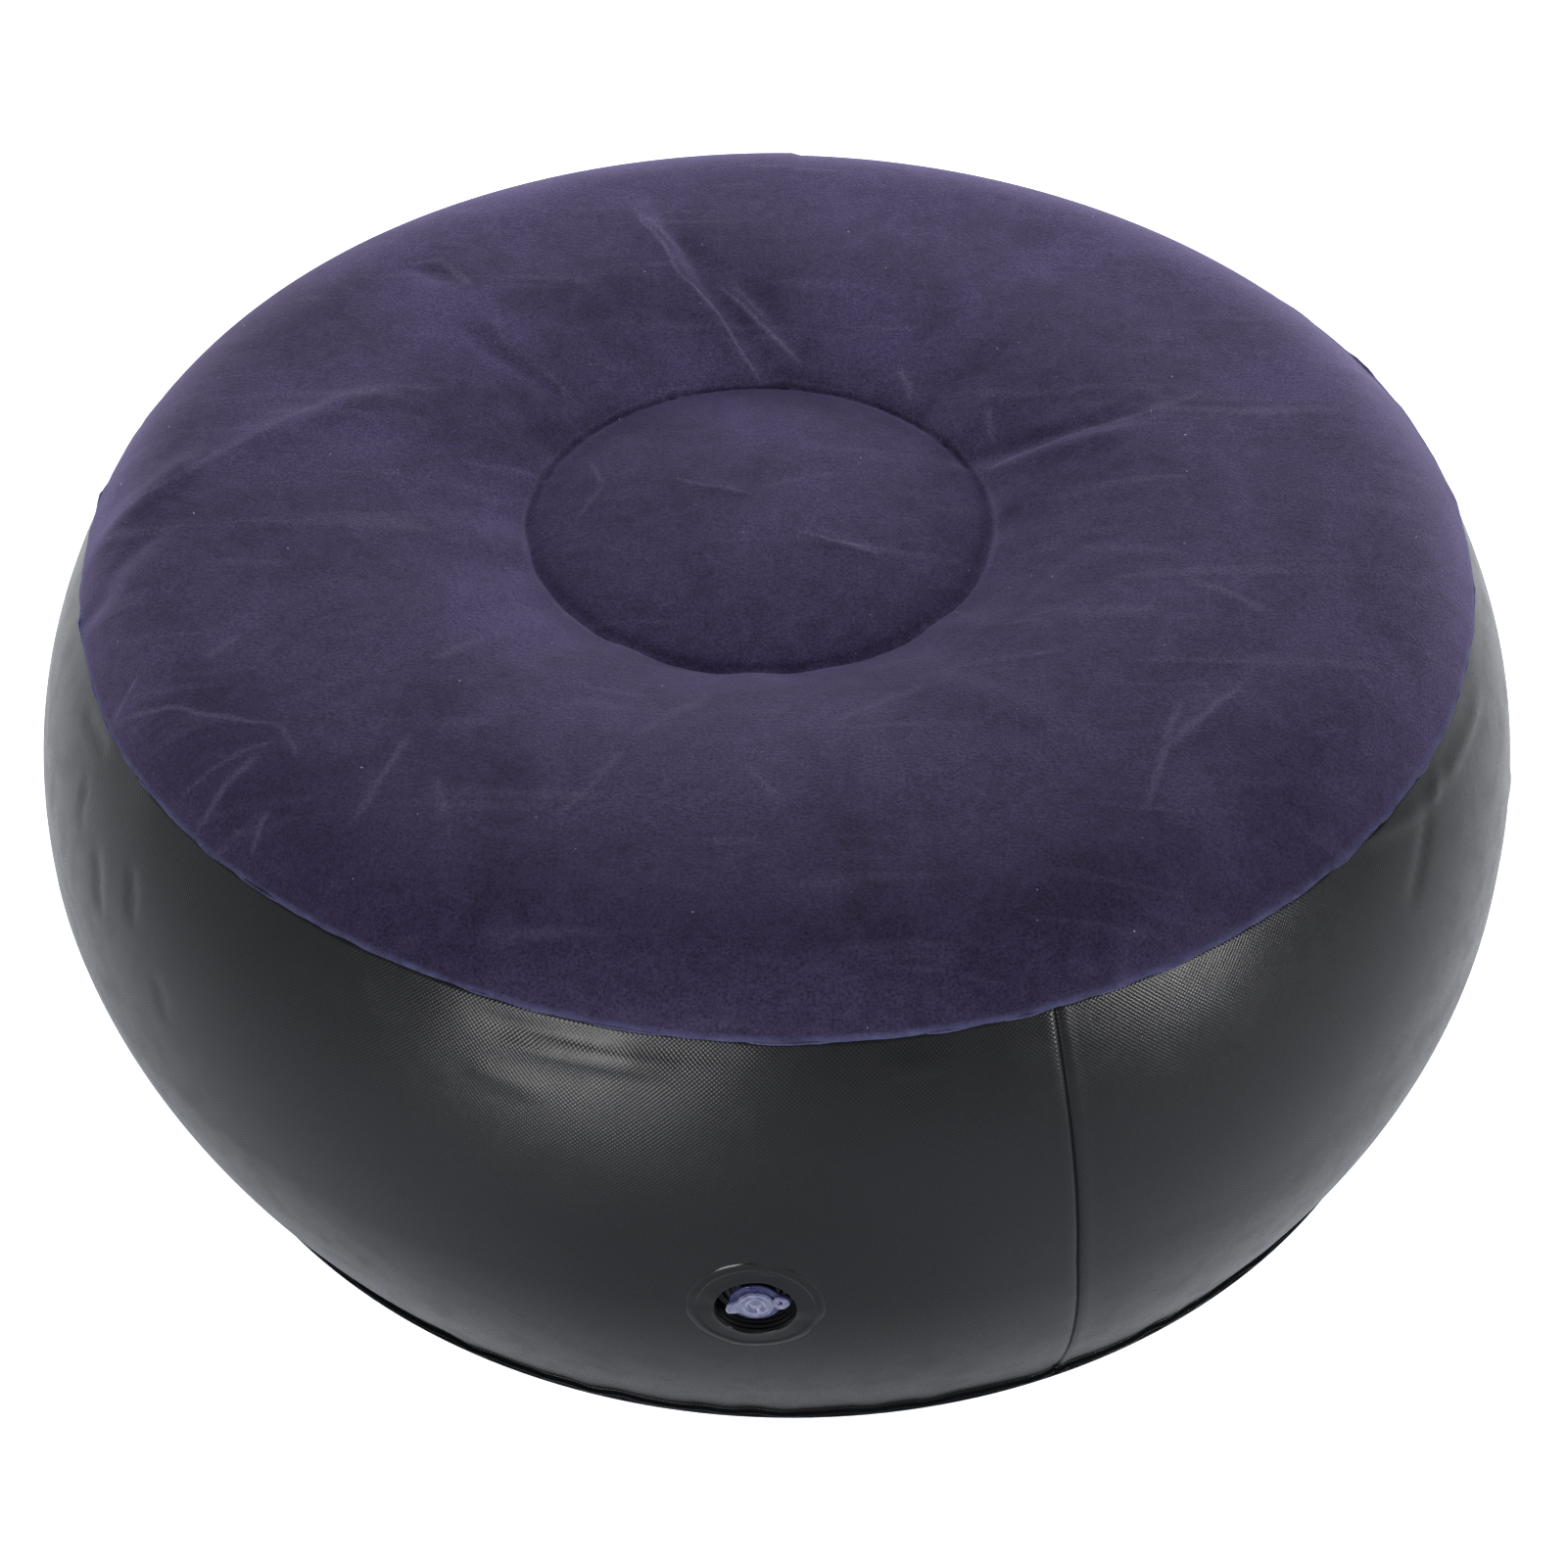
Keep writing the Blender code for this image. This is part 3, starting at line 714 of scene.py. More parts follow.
def points_of(obj):
    """The mesh's points as an N by 3 array."""
    flat_list = np.empty(len(obj.data.vertices) * 3, np.float32)
    obj.data.vertices.foreach_get("co", flat_list)
    return flat_list.reshape(-1, 3).astype(float)


def move_points(obj, points):
    obj.data.vertices.foreach_set("co", points.astype(np.float32).ravel())
    obj.data.update()


def thicken(obj, thickness=film):
    """Gives a sheet its thickness, inwards from its drawn face, and smooth shading."""
    solidify = obj.modifiers.new("thickness", "SOLIDIFY")
    solidify.thickness = thickness
    solidify.offset = -1
    solidify.use_even_offset = False
    bake(obj)
    obj.data.shade_smooth()
    return obj


def triangles(obj):
    return sum(len(face.vertices) - 2 for face in obj.data.polygons)


def face_away(obj, centre):
    """Turns a sheet's faces over, all together, if they look towards a point rather than away from it."""
    centre = Vector(centre)
    faces = obj.data.polygons
    total = sum((face.center - centre).dot(face.normal) * face.area for face in faces)
    if total < 0:
        obj.data.flip_normals()
    print(obj.name, "turned over" if total < 0 else "faces the right way")


# %% [markdown]
# ## Folds as shapes
# The sheets are sculpted in code. A crease is a straight line on the sheet with a soft ridge or groove along
# it, and a pinch is a fan of creases at a weld, where a flat sheet has too much cloth for the curve it was
# welded to. Smooth waves with fixed phases stand for the sheet's uneven pull.


# %% Fold helpers
def crease(places, start, end, width, height):
    """Height to add at each place (N by 2) for a ridge from start to end that fades towards both."""
    start, end = np.array(start, float), np.array(end, float)
    along = end - start
    share = np.clip(((places - start) @ along) / (along @ along), 0, 1)
    gap = np.linalg.norm(places - (start + share[:, None] * along), axis=1)
    fade = np.clip(np.minimum(share, 1 - share) * 4, 0, 1)
    return height * np.exp(-((gap / width) ** 2)) * fade


def waves(angle, counts, phases, heights):
    """A sum of waves round the stool, for unevenness that closes on itself."""
    total = np.zeros_like(angle)
    for count, phase, size in zip(counts, phases, heights):
        total += size * np.sin(count * angle + phase)
    return total


def around(points):
    """Angle of each point round the stool, counted from the valve towards +X."""
    return np.arctan2(points[:, 0], -points[:, 1])


# %% [markdown]
# ## The flocked top
# The top is one disc of film, welded to the wall at its rim and to the tie tube along a circle. Air pushes up
# all that is free, which leaves a ring-shaped cushion with a button in the middle. Long pinches run from the
# tie weld where the sheet gathers, and a few old folds cross the rim. The disc sits a few millimetres to one
# side, as the weld of a cheap stool does.

# %% Top sheet
lap_stand_off = 0.0013
top_edge = top_seam_radius + lap_stand_off
weld_band, weld_sink = 0.0022, 0.0016


def top_line():
    """(radius, height) from the middle of the disc, over the crest, down to the lap's edge."""
    disc = tie_radius * np.linspace(0, 1, 26) ** 0.72
    slope = tie_radius + (crest_radius - tie_radius) * np.linspace(0, 1, 36)[1:] ** 1.35
    rim = crest_radius + (top_edge - crest_radius) * np.linspace(0, 1, 44)[1:] ** 0.62
    radii = np.concatenate([disc, slope, rim])
    heights = height - crown_depth(radii, top_edge)
    lap_heights = rim_height - lap_drop * np.linspace(0, 1, 6)[1:]
    lap = np.stack([wall_radius(lap_heights) + lap_stand_off, lap_heights], axis=1)
    return np.concatenate([np.stack([radii, heights], axis=1), lap])


top_sheet = turn_sheet("flocked_top", top_line(), 400, flock)
points = points_of(top_sheet)
radius = np.hypot(points[:, 0], points[:, 1])
angle = around(points)
crown = points[:, 2] > height - seam_depth * 0.98
print("top sheet:", len(points), "points")

# %% [markdown]
# The weld itself is a flat band a few millimetres wide, pressed below the surface on both sides of it. The
# pinches are strongest at the weld and die out on the way to the crest. One part of the crest is a little
# slack, and lies lower than the rest.

# %% Sculpt the top
plan = points[:, :2]
lift = -weld_sink * np.exp(-(((radius - tie_radius) / weld_band) ** 2))
pinch_fade = np.exp(-(((radius - tie_radius - 0.012) / 0.03) ** 2)) * (radius > tie_radius)
lift += pinch_fade * waves(angle, (9, 14, 23), (0.4, 2.1, 1.2), (0.0007, 0.0006, 0.0004))
lift += crown * waves(angle, (3, 5), (2.6, 0.3), (0.0004, 0.0003)) * (radius / belly) ** 2
slack_at, slack_reach, slack_drop = 140, 42, 0.0030
slack = np.exp(-((np.abs(np.degrees(angle) - slack_at) / slack_reach) ** 2))
lift -= slack_drop * slack * np.clip((radius - 0.11) / 0.1, 0, 1)
top_folds = (
    # start, end, width and height of each fold, seen from above
    ((-0.074, 0.215), (-0.006, 0.098), 0.0065, 0.0026),
    ((-0.060, 0.200), (0.006, 0.100), 0.0080, -0.0026),
    ((-0.028, 0.160), (0.014, 0.098), 0.0055, 0.0020),
    ((-0.014, 0.160), (0.022, 0.100), 0.0060, -0.0018),
    ((-0.140, 0.112), (-0.080, 0.068), 0.0065, -0.0016),
    ((-0.134, 0.118), (-0.084, 0.076), 0.0050, 0.0012),
    ((0.088, 0.038), (0.165, 0.054), 0.0060, -0.0022),
    ((0.092, 0.030), (0.160, 0.044), 0.0060, 0.0016),
    ((-0.290, -0.045), (-0.235, 0.018), 0.0090, 0.0022),
    ((-0.235, 0.012), (-0.145, 0.070), 0.0100, 0.0016),
    ((-0.280, -0.068), (-0.245, -0.030), 0.0060, -0.0014),
    ((-0.300, -0.075), (-0.262, -0.066), 0.0050, -0.0018),
    ((-0.172, 0.157), (-0.142, 0.142), 0.0055, -0.0014),
    ((0.150, -0.165), (0.185, -0.128), 0.0055, 0.0009),
    ((0.060, -0.105), (0.120, -0.160), 0.0090, 0.0008),
    ((-0.095, -0.055), (-0.165, -0.115), 0.0100, 0.0008),
    ((0.040, -0.095), (0.052, -0.150), 0.0070, -0.0009),
    ((0.100, -0.020), (0.150, -0.038), 0.0080, -0.0009),
    ((-0.078, 0.010), (-0.058, 0.050), 0.0050, 0.0007),
    ((0.018, -0.022), (0.052, -0.033), 0.0045, 0.0008),
    ((-0.030, 0.014), (-0.005, 0.002), 0.0045, 0.0006),
)
for start, end, width, size in top_folds:
    lift += crease(plan, start, end, width, size)
points[:, 2] += lift * crown
shift_ends = crest_radius + 0.05
points[:, 0] += disc_shift * np.clip((shift_ends - radius) / 0.10, 0, 1)
print(f"folds lift the top by {1000 * lift.min():.1f} to {1000 * lift.max():.1f} mm")

# %% [markdown]
# The lap's edge was cut by hand after welding. It wanders by half a millimetre, it has small nicks, and the
# bare film of the cut shows as a pale blue line, so an attribute marks the last millimetre for the material.

# %% Ragged lap edge
rim_zone = 0.006
rim_share = np.clip((rim_height + rim_zone - points[:, 2]) / (rim_zone + lap_drop), 0, 1)
rim_share[~(radius > crest_radius)] = 0
ragged = waves(angle, (31, 53, 89, 131), (0.2, 1.9, 0.7, 2.9), (0.00022, 0.0002, 0.00018, 0.00015))
nicks = np.clip(np.sin(17 * angle + 2.2 * np.sin(5 * angle)), 0.93, 1) - 0.93
on_lap = np.clip((rim_height - points[:, 2]) / lap_drop, 0, 1) * (radius > crest_radius)
points[:, 2] += on_lap**2 * (ragged + 0.012 * nicks)
bulge = 0.0005 * np.sin(23 * angle + 1.1) + 0.0003 * np.sin(61 * angle)
points[:, :2] *= (1 + rim_share**3 * np.clip(bulge, 0, None) / belly)[:, None]
towards_rim = np.clip((radius - crest_radius) / (top_edge - crest_radius), 0, 1)
rise = rim_rise(angle) * towards_rim**3
points[:, 2] += rise
points[:, :2] *= (1 - rim_climb_draws_in * rise / belly)[:, None]
move_points(top_sheet, points)
face_away(top_sheet, (0, 0, 0))
raw = np.clip((rim_share - 0.62) / 0.3, 0, 1).astype(np.float32)
top_sheet.data.attributes.new("raw_edge", "FLOAT", "POINT").data.foreach_set("value", raw)

# %% [markdown]
# ## Lint
# A dark flock catches pale lint. Geometry Nodes scatter a few dozen specks on the sheet: points are spread
# over the faces that look up, and each gets a tiny sliver turned at random, all from one fixed seed.

# %% Tree: lint
lint_tree = bpy.data.node_groups.new("scatter_lint", "GeometryNodeTree")
for socket_name, socket_type in (
    ("Sheet", "NodeSocketGeometry"),
    ("Density", FLOAT),
    ("Length", FLOAT),
    ("Seed", "NodeSocketInt"),
    ("Finish", "NodeSocketMaterial"),
):
    lint_tree.interface.new_socket(socket_name, in_out="INPUT", socket_type=socket_type)
lint_tree.interface.new_socket("Lint", in_out="OUTPUT", socket_type="NodeSocketGeometry")
tree = Tree(lint_tree)
entry = lint_tree.nodes.new("NodeGroupInput").outputs
leave = lint_tree.nodes.new("NodeGroupOutput").inputs
facing = tree.parts(tree.add("GeometryNodeInputNormal").outputs[0])["Z"]
looks_up = tree.maths("GREATER_THAN", facing, 0.4)
scattered = {"Mesh": entry["Sheet"], "Selection": looks_up, "Density": entry["Density"]}
spots = tree.add("GeometryNodeDistributePointsOnFaces", scattered)
lint_tree.links.new(entry["Seed"], spots.inputs["Seed"])
sliver = tree.add("GeometryNodeMeshIcoSphere", {"Radius": entry["Length"], "Subdivisions": 1}).outputs[0]
sliver = tree.add("GeometryNodeTransform", {"Geometry": sliver, "Scale": (1.0, 0.35, 0.25)}).outputs[0]
spin = tree.add("FunctionNodeRandomValue", {"Seed": entry["Seed"]}, data_type="FLOAT_VECTOR")
full_turn = 6.28
spin.inputs[1].default_value = (full_turn, full_turn, full_turn)
grow = tree.add("FunctionNodeRandomValue", {"Seed": entry["Seed"]}, data_type="FLOAT")
smallest, largest = 0.35, 1.2
grow.inputs[2].default_value = smallest
grow.inputs[3].default_value = largest
strewn = tree.add("GeometryNodeInstanceOnPoints", {"Points": spots.outputs["Points"], "Instance": sliver})
lint_tree.links.new(spin.outputs[0], strewn.inputs["Rotation"])
lint_tree.links.new(grow.outputs[1], strewn.inputs["Scale"])
solid_lint = tree.add("GeometryNodeRealizeInstances", {"Geometry": strewn.outputs[0]})
done = tree.add("GeometryNodeSetMaterial", {"Geometry": solid_lint.outputs[0], "Material": entry["Finish"]})
lint_tree.links.new(done.outputs[0], leave["Lint"])

# %% Scatter the lint
pale_lint, tree, shader, place = start_material("pale_lint")
fleck = tree.mix(tree.noise(place["Object"], 90.0), (0.42, 0.42, 0.5, 1), (0.8, 0.8, 0.85, 1))
tree.tree.links.new(fleck, shader.inputs["Base Color"])
shader.inputs["Roughness"].default_value = 0.8
lint = bpy.data.objects.new("lint", top_sheet.data.copy())
bpy.context.scene.collection.objects.link(lint)
scatter = lint.modifiers.new("scatter", "NODES")
scatter.node_group = lint_tree
for key, value in (("Density", 300.0), ("Length", 0.0006), ("Seed", 4), ("Finish", pale_lint)):
    set_input(scatter, key, value)
bake(lint)
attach(lint, "stool")
print("lint:", triangles(lint), "triangles")

# %% Finish the top sheet
flocked_film = 0.0009
thicken(top_sheet, flocked_film)
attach(top_sheet, "stool")
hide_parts("top_panel")
print("flocked top:", triangles(top_sheet), "triangles")

# %% [markdown]
# ## The wall
# The wall is one long strip. It is bent round and welded edge to edge, which shows as a fine upright groove
# with a bead beside it. Below the rim the strip is gathered, so it keeps shallow level creases there, and its
# foot turns out into a fin that is welded to the bottom sheet.

# %% Wall sheet
wall_columns = 480
wall_top = rim_height + 0.0002
wall_foot = fin_high + 0.0004


def wall_line():
    """(radius, height) from under the lap down to the fin."""
    heights = wall_top + (wall_foot - wall_top) * np.linspace(0, 1, 76)
    barrel = np.stack([wall_radius(heights), heights], axis=1)
    corner = barrel[-1] + np.array([[0.0004, -0.00015]])
    fin_radii = np.linspace(corner[0, 0] + 0.0008, fin_edge, 4)
    fin = np.stack([fin_radii, np.full(4, corner[0, 1])], axis=1)
    return np.concatenate([barrel, corner, fin])


wall_start = seam_angle - math.pi / 2
wall = turn_sheet("embossed_wall", wall_line(), wall_columns, embossed_film, start=wall_start, uv_radius=belly)
points = points_of(wall)
angle = around(points)
up = points[:, 2]
print("wall:", len(points), "points")

# %% [markdown]
# Creases are laid out on the unrolled strip: angle times belly radius across, height upwards.

# %% Sculpt the wall
strip = np.stack([angle * belly, up], axis=1)
under_rim = np.exp(-(((up - wall_top) / 0.016) ** 2))
push = under_rim * waves(angle, (19, 33, 47), (0.3, 1.3, 2.2), (0.00012, 0.0001, 0.00008))
push += waves(angle, (3, 5), (0.5, 1.8), (0.0003, 0.0002)) * np.exp(-(((up - middle) / 0.09) ** 2))
wall_folds = (
    # start, end, width and height of each fold, on the unrolled strip
    ((-0.118, 0.2445), (-0.050, 0.2462), 0.0026, -0.0011),
    ((-0.100, 0.2405), (-0.030, 0.2425), 0.0030, 0.0010),
    ((-0.060, 0.2475), (0.006, 0.2478), 0.0026, -0.0007),
    ((-0.115, 0.2290), (-0.080, 0.2265), 0.0024, 0.0006),
    ((0.052, 0.2405), (0.076, 0.2425), 0.0022, 0.0005),
    ((0.275, 0.2560), (0.335, 0.2400), 0.0026, 0.0010),
    ((0.335, 0.2400), (0.352, 0.2440), 0.0026, 0.0012),
    ((0.345, 0.2400), (0.420, 0.2380), 0.0028, 0.0010),
    ((0.335, 0.2400), (0.300, 0.2150), 0.0030, -0.0008),
    ((-0.385, 0.2420), (-0.345, 0.2450), 0.0026, -0.0008),
    ((-0.300, 0.2260), (-0.292, 0.2020), 0.0028, -0.0009),
    ((-0.330, 0.2150), (-0.318, 0.1880), 0.0028, -0.0009),
    ((-0.355, 0.2300), (-0.350, 0.2080), 0.0026, -0.0008),
    ((-0.270, 0.1950), (-0.262, 0.1750), 0.0026, -0.0006),
    ((0.440, 0.1800), (0.446, 0.1550), 0.0028, 0.0006),
    ((0.700, 0.2400), (0.760, 0.2360), 0.0030, -0.0009),
    ((-0.640, 0.2440), (-0.580, 0.2400), 0.0030, -0.0009),
    ((0.930, 0.2300), (0.980, 0.2380), 0.0030, 0.0009),
    ((-0.860, 0.0600), (-0.800, 0.0520), 0.0040, 0.0009),
    ((0.560, 0.0560), (0.620, 0.0480), 0.0040, 0.0008),
)
for start, end, width, size in wall_folds:
    push += crease(strip, start, end, width, size)
foot_pull = np.exp(-(((up - wall_foot) / 0.012) ** 2))
push += foot_pull * waves(angle, (41, 67, 97), (0.9, 0.1, 1.7), (0.00025, 0.0003, 0.0002))
outward = np.stack([np.sin(angle), -np.cos(angle)], axis=1)
points[:, :2] += outward * push[:, None]
rise = rim_rise(angle) * np.clip((up - middle) / (wall_top - middle), 0, 1) ** 5
points[:, 2] += rise
points[:, :2] *= (1 - rim_climb_draws_in * rise / belly)[:, None]
print(f"folds move the wall by {1000 * push.min():.1f} to {1000 * push.max():.1f} mm")

# %% [markdown]
# The strip's upright weld is far narrower than the grid's columns. The columns beside it are therefore drawn
# in towards it, together with their place on the UV map, and the weld is then pressed in as a groove. It was
# welded by hand, so it wanders to one side near the foot. An attribute marks the groove for the material,
# which takes the gloss off it. The whole foot is then moved a little to one side.

# %% Upright weld
squeezed_columns = 8
squeeze_reach = squeezed_columns * 2 * math.pi / wall_columns
groove_width, groove_depth = 0.0007, 0.0009
bead_width, bead_height, bead_aside = 0.0016, 0.00035, 0.0026
weld_drift = math.radians(2.0)


def squeezed(gap):
    """An angle from the weld, drawn in towards it where it is within reach."""
    near = np.clip(np.abs(gap) / squeeze_reach, 0, 1)
    return np.where(near < 1, np.sign(gap) * squeeze_reach * near**1.9, gap)


gap = (angle - seam_angle + math.pi) % (2 * math.pi) - math.pi
drift = weld_drift * np.clip((0.25 - up) / 0.22, 0, 1) ** 1.6 * np.exp(-((gap / 0.25) ** 2))
turn_by = squeezed(gap) - gap + drift
x, y = points[:, 0].copy(), points[:, 1].copy()
points[:, 0] = x * np.cos(turn_by) - y * np.sin(turn_by)
points[:, 1] = x * np.sin(turn_by) + y * np.cos(turn_by)
across = squeezed(gap) * belly
groove = np.exp(-((across / groove_width) ** 2))
bead = np.exp(-(((across - bead_aside) / bead_width) ** 2))
press = -groove_depth * groove + bead_height * bead
points[:, :2] *= (1 + press / belly)[:, None]
points[:, 0] += foot_shift * np.clip((middle - up) / (middle - seam_depth), 0, None)
groove = groove.astype(np.float32)
wall.data.attributes.new("weld_line", "FLOAT", "POINT").data.foreach_set("value", groove)
uv_layer = wall.data.uv_layers["UVMap"].uv
uv = np.empty(len(uv_layer) * 2, np.float32)
uv_layer.foreach_get("vector", uv)
uv = uv.reshape(-1, 2)
uv_gap = (uv[:, 0] / belly - wall_start + math.pi) % (2 * math.pi) - math.pi
uv[:, 0] += (squeezed(uv_gap) - uv_gap) * belly
uv_layer.foreach_set("vector", uv.ravel())
nearest_columns = np.unique(np.abs(np.round(across, 5)))[:4] * 1000
print("columns next to the weld:", np.round(nearest_columns, 2), "mm")


# %% [markdown]
# The valve needs a hole. The cells of the wall's grid that lie within it are dropped, and the points left on
# the hole's edge are moved onto a true circle, which the valve's collar covers.

# %% Cut the valve hole
hole_radius = 0.0185
dropped_radius = 0.0165


def wall_dip(u, v):
    """How far the wall's face lies behind the valve's plane, u to the right and v above its middle."""
    return np.sqrt(wall_radius(middle + v) ** 2 - u**2) - belly


from_valve = np.hypot(points[:, 0], points[:, 2] - middle)
inside = (from_valve < dropped_radius) & (points[:, 1] < 0)
doomed = [face.index for face in wall.data.polygons if any(inside[i] for i in face.vertices)]
edge_points = {i for index in doomed for i in wall.data.polygons[index].vertices if not inside[i]}
for i in edge_points:
    u, v = points[i, 0], points[i, 2] - middle
    reach = math.hypot(u, v)
    u, v = u * hole_radius / reach, v * hole_radius / reach
    points[i] = (u, -belly - wall_dip(u, v), middle + v)
move_points(wall, points)
cutter = bmesh.new()
cutter.from_mesh(wall.data)
cutter.faces.ensure_lookup_table()
bmesh.ops.delete(cutter, geom=[cutter.faces[i] for i in doomed], context="FACES")
cutter.to_mesh(wall.data)
cutter.free()
face_away(wall, (0, 0, middle))
thicken(wall)
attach(wall, "stool")
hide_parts("side_wall")
print("hole:", len(doomed), "cells dropped;", "wall:", triangles(wall), "triangles")

# %% [markdown]
# ## The bottom sheet
# The bottom is made like the top, of plain black film. The stool stands on its crest. Its rim meets the wall's
# foot in a flat fin, which is all of it that shows from above.


# %% Floor sheet
def floor_line():
    """(radius, height) from the middle of the disc, over the crest, out to the fin's edge."""
    disc = tie_radius * np.linspace(0, 1, 20)
    slope = tie_radius + (crest_radius - tie_radius) * np.linspace(0, 1, 26)[1:] ** 1.3
    rim = crest_radius + (floor_seam_radius - crest_radius) * np.linspace(0, 1, 34)[1:] ** 0.65
    radii = np.concatenate([disc, slope, rim])
    sheet = np.stack([radii, crown_depth(radii, floor_seam_radius)], axis=1)
    fin_low = seam_depth - 0.001
    fin_radii = np.linspace(floor_seam_radius + 0.001, fin_edge + 0.0004, 4)
    fin = np.stack([fin_radii, np.full(4, fin_low)], axis=1)
    sheet[:, 1] = np.minimum(sheet[:, 1], fin_low)
    return np.concatenate([sheet, fin])


floor_sheet = turn_sheet("embossed_floor", floor_line(), 240, embossed_film, uv_radius=crest_radius)
points = points_of(floor_sheet)
radius = np.hypot(points[:, 0], points[:, 1])
angle = around(points)
floor_weld_sink = 0.0012
weld = np.exp(-(((radius - tie_radius) / weld_band) ** 2)) * floor_weld_sink
pinch_fade = np.exp(-(((radius - tie_radius - 0.012) / 0.03) ** 2))
pinch = pinch_fade * waves(angle, (8, 13, 21), (1, 2, 3), (0.0008, 0.0006, 0.0004))
points[:, 2] += weld + pinch
points[:, 0] += foot_shift
move_points(floor_sheet, points)
face_away(floor_sheet, (0, 0, height))
thicken(floor_sheet)
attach(floor_sheet, "stool")
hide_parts("bottom_panel")
print("floor sheet:", triangles(floor_sheet), "triangles")

# %% [markdown]
# ## The valve
# A push-in valve has three soft mouldings and two films. They are built in the valve's own frame, u to the
# right, v up and w outwards, with w = 0 on the wall's face, and their finished meshes are moved into place.
# A moulding that isn't round is still turned on the lathe: its outline is then pushed out at some angles.

# %% Valve frame and helpers
valve_place = Matrix.Translation((0, -belly, middle)) @ Matrix.Rotation(math.pi / 2, 4, "X")
valve_roll = math.radians(10)
roll = Matrix.Rotation(valve_roll, 4, "Z")


def face_out(obj):
    """Makes every face of a closed shell point outwards."""
    shell = bmesh.new()
    shell.from_mesh(obj.data)
    bmesh.ops.remove_doubles(shell, verts=shell.verts, dist=0.000002)
    bmesh.ops.recalc_face_normals(shell, faces=shell.faces)
    shell.to_mesh(obj.data)
    shell.free()


def place_moulding(obj, where):
    obj.data.transform(where)
    face_out(obj)
    obj.data.shade_smooth()
    return obj


def capsule_reach(angle, heading, length, half_width):
    """Distance from the middle to the edge of a round-ended bar that points in the heading, at each angle."""
    smallest = 1e-6
    off = np.abs((angle - heading + np.pi) % (2 * np.pi) - np.pi)
    off_sine = np.sin(np.minimum(off, np.pi / 2))
    off_cosine = np.cos(off)
    side = half_width / np.maximum(off_sine, smallest)
    middle_of_end = length - half_width
    inside_root = np.clip(half_width**2 - (middle_of_end * off_sine) ** 2, 0, None)
    end = middle_of_end * off_cosine + np.sqrt(inside_root)
    straight = side * off_cosine < middle_of_end
    reach = np.where(straight, side, end)
    return np.where(off < np.pi / 2, reach, half_width)


def soft_max(a, b, softness):
    """The larger of two lengths, with the corner between them rounded off."""
    return 0.5 * (a + b + np.sqrt((a - b) ** 2 + softness**2))


def push_outline(obj, reach, start, end):
    """Stretches what lies past radius start, so that radius end comes to reach(angle)."""
    spots = points_of(obj)
    spot_radius = np.hypot(spots[:, 0], spots[:, 1])
    spot_angle = np.arctan2(spots[:, 1], spots[:, 0])
    share = np.clip((spot_radius - start) / (end - start), 0, 1)
    target = start + (reach(spot_angle) - start) * share
    scale = np.where(spot_radius > start, target / np.maximum(spot_radius, 1e-9), 1.0)
    spots[:, :2] *= scale[:, None]
    move_points(obj, spots)


# %% [markdown]
# The collar is where the wall's film lies over the valve's weld ring. It is a smooth band between two low
# beads, it follows the barrel of the wall, and its inner edge rolls over into the recess.

# %% Collar
collar_line = [
    (0.0262, -0.0004), (0.0259, 0.0003), (0.0245, 0.0006), (0.0232, 0.00082), (0.0226, 0.00085),
    (0.0222, 0.0007), (0.0219, 0.00045), (0.0214, 0.0004), (0.0190, 0.0004), (0.0170, 0.0004),
    (0.0164, 0.0005), (0.0160, 0.0007), (0.0156, 0.0007), (0.01535, 0.0005), (0.01525, 0.0),
    (0.01525, -0.0012), (0.0159, -0.0012), (0.0164, -0.0006), (0.0200, -0.0007), (0.0262, -0.0004),
]
collar = turn_sheet("valve_collar", collar_line, 128, smooth_film, uv_radius=0.019)
points = points_of(collar)
points[:, 2] += wall_dip(points[:, 0], points[:, 1])
collar_angle = np.arctan2(points[:, 1], points[:, 0])
collar_waviness = 0.00012
points[:, 2] += collar_waviness * waves(collar_angle, (3, 7, 11), (0.4, 1.6, 2.8), (1.0, 0.7, 0.5))
move_points(collar, points)
place_moulding(collar, valve_place)
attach(collar, "stool")
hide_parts("valve_flange")
print("collar:", triangles(collar), "triangles")

# %% [markdown]
# The web is the ribbed film that lines the recess. One end is welded to the collar and the other to the neck.

# %% Web
web_depth, web_film = 0.0092, 0.0005
wall_steps = np.linspace(0, 1, 30)
wall_ribs = 0.0152 - 0.0004 * wall_steps + 0.00022 * np.cos(wall_steps * 26)
web_wall = np.stack([wall_ribs, -0.0004 - 0.0086 * wall_steps], axis=1)
floor_steps = wall_steps[1:]
floor_ribs = -web_depth + 0.00025 * np.cos(floor_steps * 18)
web_floor = np.stack([0.0146 - 0.0084 * floor_steps, floor_ribs], axis=1)
web_line = np.concatenate([web_wall, web_floor])
web = turn_sheet("valve_web", web_line, 96, smooth_film, uv_radius=0.012)
face_away(web, (0, 0, 0))
thicken(web, -web_film)
web.data.transform(valve_place)
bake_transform(web)
print("web:", triangles(web), "triangles")

# %% [markdown]
# The neck ends in a broad thin lip, like a collar button. An ear on the lip holds the end of the cap's strap.

